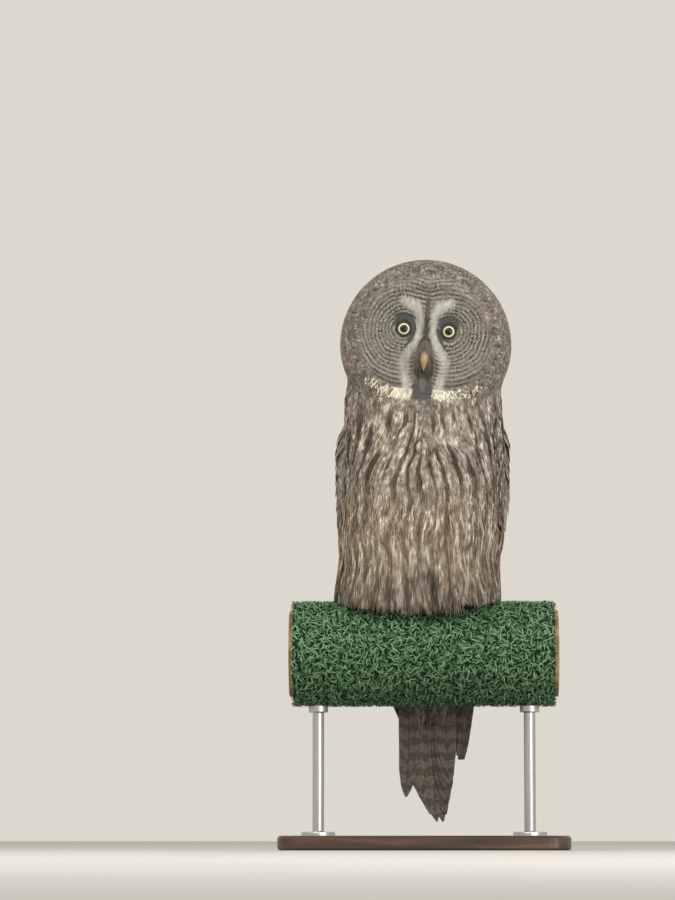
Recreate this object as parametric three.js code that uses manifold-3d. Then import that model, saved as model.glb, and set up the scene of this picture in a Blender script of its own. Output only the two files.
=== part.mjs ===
// Great grey owl, life size, sitting upright on a short length of turf-covered pole that a display stand holds.
// Millimetres, +Z up. The owl faces -Y, and the origin is the middle of the base's underside.
import * as THREE from "three";
import { mergeVertices } from "three/addons/utils/BufferGeometryUtils.js";
import Module from "manifold-3d";

const wasm = await Module();
wasm.setup();
const { lerp, smoothstep, clamp } = THREE.MathUtils;

// Driving dimensions
const GAP = 0.35; // between two pieces that touch
const DEG = Math.PI / 180;
const POLE = { z: 218.6, radius: 48, length: 300 };
const TURF = { radius: 57.5, length: 292 };
const BASE = { width: 320, depth: 250, thick: 16, corner: 22, edge: 2.5 };
const ROD = { x: 118, radius: 6.5, foot: 19, footThick: 4, collar: 11, collarThick: 7 };
const HEAD = { x: 3, y: 4, z: 566, half: 95, up: 95, down: 88, front: 72, back: 76, roll: 4, nod: 3 };
const DISC = { z: 0, rx: 76, rz: 65, dish: 6, rim: 3.5 };
const EYE = { x: 25, y: -56.5, z: 13, radius: 11.5, iris: 6.6, bulge: 1.6 };
const LID = { radius: 9, tube: 2.2, proud: 7.6 };
const LEG = { x: [36, -42], y: 2, top: 330, foot: 296 };
const CLAW = { sunk: 2.5, radii: [3.4, 3.1, 2, 0.3] };
const TAIL = { x: 3, root: 322, tip: 32, swing: 15 };

// Sections of the body from the belly up: height, middle x, half width, front y, back y
const BODY = [
  [302, -6, 50, -34, 56],
  [309, -6, 68, -56, 65],
  [322, -5, 78, -69, 71],
  [345, -4, 83, -77, 75],
  [375, -3, 84, -82, 77],
  [410, -2, 85, -85, 78],
  [445, -1, 85, -85, 79],
  [475, 0, 85, -77, 80],
  [498, 0, 85, -61, 81],
  [520, 1, 84, -46, 78],
  [545, 3, 76, -34, 70],
  [568, 3, 60, -20, 56],
];
// Sections of the sheet that the folded wings follow below the body: height, middle x, half width, middle y, half depth
const WRAP = [
  [50, 10, 24, 74, 8],
  [80, 8, 33, 73, 9],
  [110, 6, 43, 71, 11],
  [160, 3, 57, 67, 14],
  [218, 0, 72, 64, 17],
  [240, -1, 76, 60, 21],
  [260, -2, 79, 46, 35],
  [280, -3, 81, 24, 56],
  [300, -4, 83, 6, 72],
];
const SHEET = { power: 2.25, bodyAbove: 345, wrapBelow: 300 };
const WING_FRONT = [
  [75, 40], [110, 32], [160, 30], [218, 31], [260, 26], [300, 13], [340, 5], [400, -7], [450, -13], [480, -11], [500, -2],
];
const TAIL_BACK = [[TAIL.tip, 80], [100, 77], [160, 75.5], [218, 75], [270, 70.5], [322, 63]];

// Smooth value of one column of a table of sections at height z
function column(table, z, k) {
  const last = table.length - 1;
  const zc = clamp(z, table[0][0], table[last][0]);
  let i = 0;
  while (i < last - 1 && table[i + 1][0] < zc) i++;
  const slope = (j) => {
    const a = table[Math.max(0, j - 1)];
    const b = table[Math.min(last, j + 1)];
    return (b[k] - a[k]) / (b[0] - a[0]);
  };
  const [a, b] = [table[i], table[i + 1]];
  const h = b[0] - a[0];
  const t = (zc - a[0]) / h;
  const eased = t * t * (3 - 2 * t);
  const bend = h * t * (1 - t) * ((1 - t) * slope(i) - t * slope(i + 1));
  return lerp(a[k], b[k], eased) + bend;
}

// A point on a superellipse section; angle 0 is the owl's left side and 90 its back
function sectionPoint(x, half, y, depth, angle, power, z) {
  const c = Math.cos(angle);
  const s = Math.sin(angle);
  const k = (Math.abs(c) ** power + Math.abs(s) ** power) ** (-1 / power);
  return new THREE.Vector3(x + half * c * k, y + depth * s * k, z);
}
// A point out mm outside the body's surface
function bodyPoint(z, angle, out = 0) {
  const front = column(BODY, z, 3);
  const back = column(BODY, z, 4);
  const half = column(BODY, z, 2) + out;
  const depth = (back - front) / 2 + out;
  return sectionPoint(column(BODY, z, 1), half, (back + front) / 2, depth, angle, SHEET.power, z);
}
// A point out mm outside the sheet that the wings follow, which leaves the body below it
function wrapPoint(z, angle, out = 0) {
  const high = bodyPoint(Math.max(z, SHEET.wrapBelow), angle, out);
  if (z >= SHEET.bodyAbove) return high;
  const half = column(WRAP, z, 2) + out;
  const depth = column(WRAP, z, 4) + out;
  const low = sectionPoint(column(WRAP, z, 1), half, column(WRAP, z, 3), depth, angle, SHEET.power, z);
  return low.lerp(high, smoothstep(z, SHEET.wrapBelow, SHEET.bodyAbove)).setZ(z);
}

// Repeatable variation from -1 to 1
let seed = 7;
function vary() {
  seed = (seed * 16807) % 2147483647;
  return (seed / 2147483647) * 2 - 1;
}

// A closed geometry as a solid that can be joined and cut, turned to face out
function solid(geometry) {
  const bare = geometry.index ? geometry.toNonIndexed() : geometry.clone();
  bare.deleteAttribute("normal");
  bare.deleteAttribute("uv");
  const merged = mergeVertices(bare, 1e-4);
  const triVerts = new Uint32Array(merged.index.array);
  const vertProperties = merged.attributes.position.array;
  const made = new wasm.Manifold(new wasm.Mesh({ numProp: 3, vertProperties, triVerts }));
  if (made.volume() > 0) return made;
  for (let i = 0; i < triVerts.length; i += 3) {
    [triVerts[i + 1], triVerts[i + 2]] = [triVerts[i + 2], triVerts[i + 1]];
  }
  return new wasm.Manifold(new wasm.Mesh({ numProp: 3, vertProperties, triVerts }));
}
const join = (pieces) => wasm.Manifold.union(pieces);
// Only the largest closed surface of a cut or joined solid
const largest = (made) => made.decompose().sort((a, b) => b.volume() - a.volume())[0];
function geometryOf(made) {
  const mesh = made.getMesh();
  const places = new Float32Array(mesh.numVert * 3);
  for (let i = 0; i < mesh.numVert; i++) {
    places.set(mesh.vertProperties.subarray(i * mesh.numProp, i * mesh.numProp + 3), i * 3);
  }
  const geometry = new THREE.BufferGeometry();
  geometry.setAttribute("position", new THREE.BufferAttribute(places, 3));
  geometry.setIndex(new THREE.BufferAttribute(new Uint32Array(mesh.triVerts), 1));
  return geometry;
}

// A closed skin over a row of rings of equal count. A ring of one point closes to a tip. turned(k) takes the other
// diagonal in column k, so that both faces of a thin plate split alike, and cap(count) gives an end's triangles.
function loft(rings, turned = () => false, cap = fanCap) {
  const count = Math.max(...rings.map((ring) => ring.length));
  const places = [];
  const first = [];
  for (const ring of rings) {
    first.push(places.length / 3);
    for (const p of ring) places.push(p.x, p.y, p.z);
  }
  const faces = [];
  const at = (i, k) => first[i] + (rings[i].length === 1 ? 0 : k % count);
  for (let i = 0; i + 1 < rings.length; i++) {
    for (let k = 0; k < count; k++) {
      const [a, b, c, d] = [at(i, k), at(i, k + 1), at(i + 1, k), at(i + 1, k + 1)];
      const split = turned(k) ? [[a, b, c], [b, d, c]] : [[a, b, d], [a, d, c]];
      for (const face of split) if (new Set(face).size === 3) faces.push(...face);
    }
  }
  const end = rings.length - 1;
  if (rings[0].length > 1) for (const [a, b, c] of cap(count)) faces.push(a, c, b);
  if (rings[end].length > 1) for (const face of cap(count)) faces.push(...face.map((i) => first[end] + i));
  const geometry = new THREE.BufferGeometry();
  geometry.setAttribute("position", new THREE.Float32BufferAttribute(places, 3));
  geometry.setIndex(faces);
  return geometry;
}
const fanCap = (count) => Array.from({ length: count - 2 }, (_, k) => [0, k + 1, k + 2]);
// The end of a plate whose ring runs along one face and back along the other
const plateCap = (count) =>
  Array.from({ length: count / 2 - 1 }, (_, k) => [
    [k, k + 1, count - 1 - k],
    [k + 1, count - 2 - k, count - 1 - k],
  ]).flat();

// A curved plate: place(u, inner, row) gives the point of a face at share u across
function plate(rows, shares, place) {
  const rings = rows.map((row) => [
    ...shares.map((u) => place(u, false, row)),
    ...[...shares].reverse().map((u) => place(u, true, row)),
  ]);
  return solid(loft(rings, (k) => k >= shares.length, plateCap));
}

// The rings of a strip laid on a sheet(z, across, out), where across is an angle or millimetres. line(s) gives its
// middle at share s, and profile(i) the points of ring i as millimetres sideways and up.
function laid(sheet, shares, line, profile) {
  return shares.map((s, i) => {
    const { z, across, out } = line(s);
    const step = 0.02;
    const unit = sheet(z, across + step, out).distanceTo(sheet(z, across - step, out)) / (2 * step);
    return profile(i).map(([sideways, up]) => sheet(z, across + sideways / unit, out + up));
  });
}
// A feather's vane: a thin plate, three points wide with a low shaft. It leans, front edge up, so that neighbours
// lie in tiers.
function vane(sheet, { shares, widths }, half, line, { thick = 0.6, lean = 0, shaft = 0.12 } = {}) {
  const profile = (i) => {
    const w = widths[i] * half;
    const tilt = widths[i] * lean;
    const t = i === shares.length - 1 ? 0.25 : thick / 2;
    return [[-w, t + tilt], [0, t + shaft], [w, t - tilt], [w, -t - tilt], [0, shaft - t], [-w, tilt - t]];
  };
  return solid(loft(laid(sheet, shares, line, profile), (k) => k > 2, plateCap));
}
// A lock of long, loose plumage: flat, tapered and four-sided
function lock(sheet, { shares, widths, thicks }, half, line) {
  const profile = (i) => [[-widths[i] * half, 0], [0, thicks[i]], [widths[i] * half, 0], [0, -thicks[i]]];
  return solid(loft(laid(sheet, shares, line, profile)));
}

const UP = new THREE.Vector3(0, 0, 1);
// A round or oval limb along a curve, with radii from a list spread evenly along it
function limb(points, radii, { sides = 8, steps = 6, flat = 1, inflate = 0, up = UP } = {}) {
  const curve = new THREE.CatmullRomCurve3(points);
  const rings = [];
  for (let i = 0; i <= steps; i++) {
    const place = curve.getPoint(i / steps);
    const ahead = curve.getTangent(i / steps).normalize();
    const side = new THREE.Vector3().crossVectors(ahead, up).normalize();
    const normal = new THREE.Vector3().crossVectors(side, ahead).normalize();
    const j = Math.min(radii.length - 2, Math.floor((i / steps) * (radii.length - 1)));
    const radius = lerp(radii[j], radii[j + 1], (i / steps) * (radii.length - 1) - j) + inflate;
    const point = (_, k) => {
      const turn = (2 * Math.PI * k) / sides;
      const onSide = place.clone().addScaledVector(side, radius * Math.cos(turn));
      return onSide.addScaledVector(normal, radius * flat * Math.sin(turn));
    };
    rings.push(Array.from({ length: sides }, point));
  }
  return solid(loft(rings));
}

// Placement of what is shaped in the head's own frame
const headPlace = new THREE.Matrix4()
  .makeTranslation(HEAD.x, HEAD.y, HEAD.z)
  .multiply(new THREE.Matrix4().makeRotationY(HEAD.roll * DEG))
  .multiply(new THREE.Matrix4().makeRotationX(HEAD.nod * DEG));
const inHead = (geometry) => geometry.applyMatrix4(headPlace);
const headPoint = (x, y, z) => new THREE.Vector3(x, y, z).applyMatrix4(headPlace);

// How far the face stands back from the head's plain front: a dished disc with a rim, a ridge between the eyes
function faceRelief(x, z) {
  const e = Math.hypot(x / DISC.rx, (z - DISC.z) / DISC.rz);
  const dish = e < 1 ? DISC.dish * (1 - e * e) : 0;
  const rim = DISC.rim * Math.exp(-(((e - 1) / 0.1) ** 2));
  const eyeDip = (side) => Math.exp(-((x - side * EYE.x) ** 2 + (z - EYE.z) ** 2) / (2 * 13 ** 2));
  const ridgeSpan = smoothstep(z, -40, -14) * (1 - smoothstep(z, 22, 48));
  const ridge = 11 * Math.exp(-((x / 9) ** 2)) * ridgeSpan;
  const chin = 5 * Math.exp(-((x / 26) ** 2) - ((z + 47) / 15) ** 2);
  return dish - rim + 4 * (eyeDip(1) + eyeDip(-1)) - ridge - chin;
}
function headBall() {
  const sides = 36;
  const frontShares = [0.09, 0.19, 0.29, 0.39, 0.5, 0.6, 0.69, 0.77, 0.84, 0.91, 0.97];
  const backShares = [1, 0.94, 0.8, 0.58, 0.3];
  const ring = (share, depth, relief) =>
    Array.from({ length: sides }, (_, k) => {
      const a = (2 * Math.PI * k) / sides;
      const x = HEAD.half * share * Math.cos(a);
      const z = (Math.sin(a) > 0 ? HEAD.up : HEAD.down) * share * Math.sin(a);
      return new THREE.Vector3(x, depth + relief * faceRelief(x, z), z);
    });
  const frontDepth = (share) => -HEAD.front * (1 - share ** 3.3) ** (1 / 3.3);
  const backDepth = (share) => HEAD.back * (1 - share ** 2.2) ** (1 / 2.2);
  const rings = [
    [new THREE.Vector3(0, faceRelief(0, 0) - HEAD.front, 0)],
    ...frontShares.map((share) => ring(share, frontDepth(share), 1)),
    ...backShares.map((share) => ring(share, backDepth(share), 0)),
    [new THREE.Vector3(0, HEAD.back, 0)],
  ];
  return solid(inHead(loft(rings)));
}
function bodyCore(out = 0) {
  const sides = 30;
  const heights = [302 - out, 306, 314, 328, 350, 380, 410, 440, 468, 492, 512, 532, 550, 568];
  const ring = (z) => Array.from({ length: sides }, (_, k) => bodyPoint(z, (2 * Math.PI * k) / sides, out));
  return solid(loft(heights.map(ring)));
}
// A thin slab across the whole bird, leaning by lean degrees about X, that parts head, neck and torso
function parting(z, lean) {
  const sheet = new THREE.BoxGeometry(400, 400, GAP);
  return solid(sheet.rotateX(lean * DEG).translate(0, 0, z));
}

function eyeBall(side, inflate = 0) {
  const cornea = EYE.iris + 1;
  const ball = new THREE.SphereGeometry(EYE.radius + inflate, 14, 9).rotateX(Math.PI / 2);
  const lens = new THREE.SphereGeometry(cornea + inflate, 12, 6).rotateX(Math.PI / 2);
  lens.translate(0, cornea - EYE.radius - EYE.bulge, 0);
  const pieces = [ball, lens].map((geometry) => solid(inHead(geometry.translate(side * EYE.x, EYE.y, EYE.z))));
  return join(pieces);
}
// The lids: a round fold about the eye, heavier above
function lids(side) {
  const round = 14;
  const rings = Array.from({ length: round + 1 }, (_, i) => {
    const a = (2 * Math.PI * (i % round)) / round;
    const tube = LID.tube * (1 + 0.3 * Math.max(0, Math.sin(a)));
    return Array.from({ length: 5 }, (_, k) => {
      const b = (2 * Math.PI * (k + 0.5)) / 5;
      const r = LID.radius + tube * Math.cos(b);
      const y = EYE.y - LID.proud + 1.3 * tube * Math.sin(b);
      return new THREE.Vector3(side * EYE.x + r * Math.cos(a), y, EYE.z + r * Math.sin(a));
    });
  });
  return solid(inHead(loft(rings, () => false, () => [])));
}

// The hooked bill, in two halves that meet in the line of the mouth
const BILL = {
  upper: [[0, -58, -9], [0, -73, -10], [0, -84, -14], [0, -87.5, -23], [0, -83, -34]],
  upperHalf: [7, 6.6, 5.6, 4, 0.5],
  lower: [[0, -58, -20], [0, -69, -21.5], [0, -77, -24.5], [0, -80.5, -29]],
  lowerHalf: [6.2, 5.6, 4.2, 0.8],
  up: new THREE.Vector3(0, -0.35, 0.94),
};
function billUpper(inflate = 0) {
  const points = BILL.upper.map((p) => headPoint(...p));
  const horn = limb(points, BILL.upperHalf, { sides: 10, steps: 10, flat: 1.15, inflate, up: BILL.up });
  const nostrils = [-1, 1].map((side) => {
    const pit = new THREE.SphereGeometry(1.5, 8, 6).scale(0.8, 1.3, 0.8);
    return solid(inHead(pit.translate(side * 5.8, -79.5, -9.5)));
  });
  return inflate ? horn : horn.subtract(join(nostrils));
}
function billLower(inflate = 0) {
  const points = BILL.lower.map((p) => headPoint(...p));
  return limb(points, BILL.lowerHalf, { sides: 8, steps: 6, flat: 0.6, inflate, up: BILL.up });
}

// Head, neck and torso as one form, parted by two thin cuts
const bodyClear = bodyCore(GAP);
const openings = [eyeBall(1, GAP), eyeBall(-1, GAP), billUpper(GAP), billLower(GAP)];
const whole = join([headBall(), bodyCore(), lids(1), lids(-1)])
  .subtract(join(openings))
  .subtract(parting(512, -9))
  .subtract(parting(478, -5));
const [torsoCore, neck, head] = whole
  .decompose()
  .filter((piece) => piece.volume() > 1e4)
  .sort((a, b) => a.boundingBox().min[2] - b.boundingBox().min[2]);

// Long loose belly plumes that hang over the perch in tiers, each from a root in the torso to a free tip
const SKIRT = { power: 2.6, half: 86, depth: 58, side: 277, drop: 17, from: 330, to: 272 };
const SKIRT_TIERS = [
  { count: 14, root: 342, half: 11.5, out: 1.5, from: -170, to: -10 },
  { count: 12, root: 372, low: 318, half: 12, out: 5.6, from: -165, to: -15 },
  { count: 10, root: 402, low: 350, half: 12.5, out: 7.5, from: -158, to: -22 },
];
// The sheet that the plumes hang on: the body's surface, and below it an open skirt in front of the toes
function skirtPoint(z, angle, out = 0) {
  const free = sectionPoint(-5, SKIRT.half + out, 0, SKIRT.depth + out, angle, SKIRT.power, z);
  return bodyPoint(Math.max(z, SKIRT.from), angle, out).lerp(free, 1 - smoothstep(z, SKIRT.to, SKIRT.from)).setZ(z);
}
const LONG_PLUME = { shares: [0, 0.34, 0.7, 1], widths: [0.75, 1, 0.85, 0.12], thicks: [1.6, 1.9, 1.5, 0.35] };
const SHORT_PLUME = { shares: [0, 0.55, 1], widths: [0.8, 1, 0.12], thicks: [1.6, 1.8, 0.35] };
function plume(tier, angle, i) {
  const front = Math.max(0, -Math.sin(angle));
  const bottom = tier.low || SKIRT.side - SKIRT.drop * front ** 3;
  const end = bottom + (tier.low ? 6 : 2.5) * vary();
  const proud = tier.out + (i % 2 ? 1.1 : -1);
  const sway = 0.04 * vary();
  return lock(skirtPoint, tier.low ? SHORT_PLUME : LONG_PLUME, tier.half * (1 + 0.08 * vary()), (s) => ({
    z: lerp(tier.root, end, s),
    across: angle + sway * s * s,
    out: lerp(-3, proud, Math.min(1, s * 3)),
  }));
}
function skirt() {
  return SKIRT_TIERS.flatMap((tier, row) =>
    Array.from({ length: tier.count }, (_, i) => {
      const share = clamp((i + 0.08 * vary()) / (tier.count - 1), 0, 1);
      return plume(tier, lerp(tier.from, tier.to, share) * DEG, i + row);
    }),
  );
}
// The mantle between the wings: a pad on the back and three rows of feathers that lie over the wings' inner edges
const MANTLE = { pad: [336, 400, 464], half: 5.5, outer: 9.5, out: 13.7 };
const MANTLE_ROWS = [{ root: 372, tip: 290 }, { root: 404, tip: 340 }, { root: 434, tip: 384 }, { root: 460, tip: 422 }];
const MANTLE_FEATHER = { shares: [0, 0.6, 1], widths: [0.8, 1, 0.14] };
function mantle() {
  const pad = plate(MANTLE.pad, [0, 0.5, 1], (u, inner, z) =>
    wrapPoint(z, (90 + lerp(-MANTLE.half, MANTLE.half, u)) * DEG, inner ? -1.5 : MANTLE.outer),
  );
  const feathers = MANTLE_ROWS.flatMap(({ root, tip }) =>
    [-1, 1, 0].map((place) => {
      const line = (s) => ({
        z: lerp(root, tip + 8 * Math.abs(place), s),
        across: (90 + place * lerp(3, 10, s)) * DEG,
        out: lerp(MANTLE.outer - 2, MANTLE.out + (place ? 0 : 1.1), Math.min(1, 2 * s)),
      });
      return vane(wrapPoint, MANTLE_FEATHER, place ? 11.5 : 13, line);
    }),
  );
  return [pad, ...feathers];
}
const roundPole = (radius, length, sides) =>
  new THREE.CylinderGeometry(radius, radius, length, sides).rotateZ(Math.PI / 2).translate(0, 0, POLE.z);
const turfClear = solid(roundPole(TURF.radius + GAP, TURF.length + 40, 40));
const torso = largest(join([torsoCore, ...skirt(), ...mantle()]).subtract(turfClear));

// A folded wing. Angles are for the owl's left side, and the right wing mirrors them.
// Long feathers bend at common heights, where the sheet bends, so that they don't cut each other
const BENDS = [345, 300, 272, 246, 218, 150];
function flightShape(root, tip) {
  const bends = BENDS.filter((z) => z < root - 12 && z > tip + 24);
  const shares = [0, ...bends.map((z) => (root - z) / (root - tip)), 1 - 14 / (root - tip), 1];
  const widths = shares.map((s) => Math.max(0.12, Math.min(1, 0.6 + 1.4 * s) * (1 - s ** 9)));
  return { shares, widths };
}
const COVERT = { shares: [0, 0.6, 1], widths: [0.75, 1, 0.15] };
const WING = { core: [352, 395, 435, 470, 488, 500], outer: 8.6, back: 81 };
const wingSheet = (side) => (z, angle, out) => wrapPoint(z, side > 0 ? angle : Math.PI - angle, out);
function wingFeather(side, { root, tip, half, bend = 1, lean }) {
  const shape = bend > 1 ? flightShape(root.z, tip.z) : COVERT;
  const line = (s) => ({
    z: lerp(root.z, tip.z, s),
    across: lerp(root.angle, tip.angle, s ** bend) * DEG,
    out: lerp(root.out, tip.out, bend > 1 ? Math.min(1, 2 * s) : s),
  });
  return vane(wingSheet(side), shape, half, line, { lean });
}
function wingCore(side) {
  const shares = [0, 0.1, 0.35, 0.6, 0.85, 1];
  const sheet = wingSheet(side);
  return plate(WING.core, shares, (u, inner, z) => {
    const edge = Math.min(1, 0.75 + 2.5 * Math.min(u, 1 - u));
    const top = 1 - 0.75 * smoothstep(z, 465, 499);
    const angle = lerp(column(WING_FRONT, z, 1) + 3, WING.back, u) * DEG;
    return sheet(z, angle, inner ? -1.5 : WING.outer * edge * top);
  });
}
const PRIMARY_TIPS = [146, 112, 90, 88, 110];
function primaries(side) {
  const tips = side > 0 ? [44, 78] : [64, 87];
  return PRIMARY_TIPS.map((z, i) => {
    const u = i / (PRIMARY_TIPS.length - 1);
    const out = 0.8 + 1.05 * i;
    return wingFeather(side, {
      root: { z: lerp(372, 366, u), angle: lerp(8, 25, u), out },
      tip: { z, angle: lerp(...tips, u), out },
      half: lerp(8, 11, u),
      bend: side > 0 ? 1.25 : 1.1,
      lean: 0.4,
    });
  });
}
function secondaries(side) {
  const count = 8;
  return Array.from({ length: count }, (_, i) => {
    const u = i / (count - 1);
    return wingFeather(side, {
      root: { z: lerp(372, 400, u), angle: lerp(12, 66, u), out: 4.9 },
      tip: { z: lerp(198, 262, u) + 3 * vary(), angle: lerp(44, 84, u), out: 7.6 + 0.1 * i },
      half: 12,
      bend: 1.3,
      lean: 1.4,
    });
  });
}
// Rows of coverts: count, root heights and tip heights from front to back
const COVERT_ROWS = [
  { count: 7, root: [392, 414], tip: [330, 352] },
  { count: 6, root: [424, 444], tip: [376, 392] },
  { count: 6, root: [452, 466], tip: [412, 424] },
  { count: 5, root: [478, 484], tip: [446, 454] },
];
function coverts(side) {
  return COVERT_ROWS.flatMap(({ count, root, tip }) =>
    Array.from({ length: count }, (_, i) => {
      const u = clamp((i + 0.12 * vary()) / (count - 1), 0, 1);
      const z = lerp(...root, u);
      const angle = lerp(column(WING_FRONT, z, 1) + 7, 69, u);
      const thin = 1 - 0.5 * smoothstep(z, 465, 490);
      return wingFeather(side, {
        root: { z, angle, out: 6.4 * thin },
        tip: { z: lerp(...tip, u) + 3 * vary(), angle: angle + 4, out: 11.5 },
        half: 11.5,
        lean: 1,
      });
    }),
  );
}
const wing = (side) =>
  largest(join([wingCore(side), ...primaries(side), ...secondaries(side), ...coverts(side)]).subtract(bodyClear));

// The closed tail: twelve feathers, the middle pair rearmost and longest, and the coverts under it
const TAIL_FEATHERS = [
  { at: 5, half: 13, short: 0 },
  { at: 12.6, half: 12, short: 5 },
  { at: 14.4, half: 12, short: 12 },
  { at: 16.2, half: 12, short: 22 },
  { at: 18, half: 12, short: 34 },
  { at: 20, half: 11.5, short: 48 },
];
const TAIL_LAYER = 0.95;
const tailX = (z) => TAIL.x + TAIL.swing * clamp((TAIL.root - z) / (TAIL.root - TAIL.tip), 0, 1) ** 5;
const tailSheet = (z, across, out) => new THREE.Vector3(tailX(z) + across, column(TAIL_BACK, z, 1) + out, z);
const RECTRIX = { shares: [0, 0.25, 0.6, 0.88, 1], widths: [0.42, 0.7, 1, 0.8, 0.1] };
function tailFeather({ at, half, short }, pair, side) {
  const layer = pair === 0 && side > 0 ? 0 : pair + 1;
  const line = (s) => ({
    z: lerp(TAIL.root, TAIL.tip + short, s),
    across: side * at * lerp(0.4, 1, Math.min(1, 1.4 * s)),
    out: -TAIL_LAYER * layer,
  });
  return vane(tailSheet, RECTRIX, half, line, { shaft: 0.05 });
}
const UNDER = { count: 5, shares: [0, 0.3, 0.65, 1], widths: [0.7, 0.95, 0.9, 0.12] };
function underCovert(i) {
  const u = (2 * i) / (UNDER.count - 1) - 1;
  const layer = (UNDER.count - 1) / 2 * (1 - Math.abs(u));
  const line = (s) => ({
    z: lerp(298, 128 + 26 * u * u, s),
    across: u * lerp(13, 21, s),
    out: -TAIL_LAYER * (TAIL_FEATHERS.length + 1.4 + layer),
  });
  return vane(tailSheet, UNDER, 9, line);
}
function tail() {
  const ring = ([z, half, front, back]) =>
    Array.from({ length: 16 }, (_, k) =>
      sectionPoint(TAIL.x, half, (front + back) / 2, (back - front) / 2, (2 * Math.PI * k) / 16, 2.6, z),
    );
  const root = solid(loft([[274, 19, 56, 74], [290, 24, 50, 76], [306, 27, 44, 77], [326, 22, 40, 74]].map(ring)));
  const feathers = TAIL_FEATHERS.flatMap((feather, pair) => [-1, 1].map((side) => tailFeather(feather, pair, side)));
  const under = Array.from({ length: UNDER.count }, (_, i) => underCovert(i));
  return largest(join([root, ...feathers, ...under]).subtract(bodyClear));
}

// Feathered legs, and feet that grip the turf with three toes in front and one behind
const TOE_RADII = [8.4, 5.7];
const TOES = [
  { splay: -14, from: -6, to: 23 },
  { splay: 5, from: -6, to: 26 },
  { splay: 18, from: -6, to: 10 },
  { splay: -4, from: -12, to: -42 },
];
function onTurf(x, degrees, above) {
  const r = TURF.radius + above;
  return new THREE.Vector3(x, -r * Math.sin(degrees * DEG), POLE.z + r * Math.cos(degrees * DEG));
}
function toePath(x, side, toe) {
  return [0, 0.25, 0.5, 0.75, 1].map((s) => {
    return onTurf(x + side * toe.splay * s, lerp(toe.from, toe.to, s), lerp(...TOE_RADII, s) + GAP);
  });
}
function claw(x, side, toe, inflate = 0) {
  const path = toePath(x, side, toe);
  const ahead = path[4].clone().sub(path[3]).normalize();
  const curl = Math.sign(toe.to);
  const reach = (degrees, above, share) => onTurf(x + side * toe.splay * (1 + share), toe.to + curl * degrees, above);
  const root = path[4].clone().addScaledVector(ahead, -CLAW.sunk - inflate);
  return limb([root, reach(7, 6.4, 0.1), reach(14, 4.4, 0.16), reach(20, 1.2, 0.2)], CLAW.radii, { sides: 6, steps: 4, inflate });
}
function foot(x, side) {
  const pad = new THREE.SphereGeometry(1, 10, 6).scale(15, 17, 10).translate(x, LEG.y + 3, POLE.z + TURF.radius + 10.5);
  const toes = TOES.map((toe) => limb(toePath(x, side, toe), TOE_RADII, { sides: 6, steps: 3 }));
  const sockets = TOES.map((toe) => claw(x, side, toe, GAP));
  const lid = new THREE.BoxGeometry(80, 120, 20).translate(x, 0, LEG.foot - GAP / 2 + 10);
  return largest(join([solid(pad), ...toes]).subtract(join([solid(lid), ...sockets])));
}
function leg(x) {
  const sections = [[LEG.foot + GAP / 2, 12], [304, 13.5], [318, 17], [LEG.top, 20]];
  const ring = ([z, r]) =>
    Array.from({ length: 12 }, (_, k) => sectionPoint(x, r, LEG.y, r * 1.15, (2 * Math.PI * k) / 12, 2, z));
  return largest(solid(loft(sections.map(ring))).subtract(bodyClear));
}

// The stand
function baseBoard() {
  const shape = new THREE.Shape();
  const [w, d, r] = [BASE.width / 2 - BASE.edge, BASE.depth / 2 - BASE.edge, BASE.corner];
  shape.absarc(w - r, d - r, r, 0, Math.PI / 2);
  shape.absarc(r - w, d - r, r, Math.PI / 2, Math.PI);
  shape.absarc(r - w, r - d, r, Math.PI, 1.5 * Math.PI);
  shape.absarc(w - r, r - d, r, 1.5 * Math.PI, 2 * Math.PI);
  const board = new THREE.ExtrudeGeometry(shape, {
    depth: BASE.thick - 2 * BASE.edge,
    bevelThickness: BASE.edge,
    bevelSize: BASE.edge,
    bevelSegments: 1,
    curveSegments: 4,
  });
  return solid(board.translate(0, 0, BASE.edge));
}
// A rod with a flange on the base and a collar under the turf, let into the pole
function rod(side) {
  const bottom = BASE.thick + GAP;
  const under = POLE.z - TURF.radius - 1;
  const profile = [
    [0, bottom],
    [ROD.foot, bottom],
    [ROD.foot, bottom + ROD.footThick - 1],
    [ROD.foot - 1, bottom + ROD.footThick],
    [ROD.radius, bottom + ROD.footThick],
    [ROD.radius, under - ROD.collarThick],
    [ROD.collar, under - ROD.collarThick + 1],
    [ROD.collar, under],
    [ROD.radius, under],
    [ROD.radius, POLE.z - 20],
    [0, POLE.z - 20],
  ].map(([r, z]) => new THREE.Vector2(r, z));
  const turned = new THREE.LatheGeometry(profile, 12).rotateX(Math.PI / 2);
  return solid(turned.translate(side * ROD.x, 0, 0)).subtract(poleClear);
}
function turf() {
  const holes = [1, -1].map((side) => {
    const drill = new THREE.CylinderGeometry(ROD.radius + GAP, ROD.radius + GAP, 80, 16);
    return solid(drill.rotateX(Math.PI / 2).translate(side * ROD.x, 0, POLE.z - 50));
  });
  return solid(roundPole(TURF.radius, TURF.length, 40)).subtract(join([poleClear, ...holes]));
}
const poleClear = solid(roundPole(POLE.radius + GAP, POLE.length + 20, 40));

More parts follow.
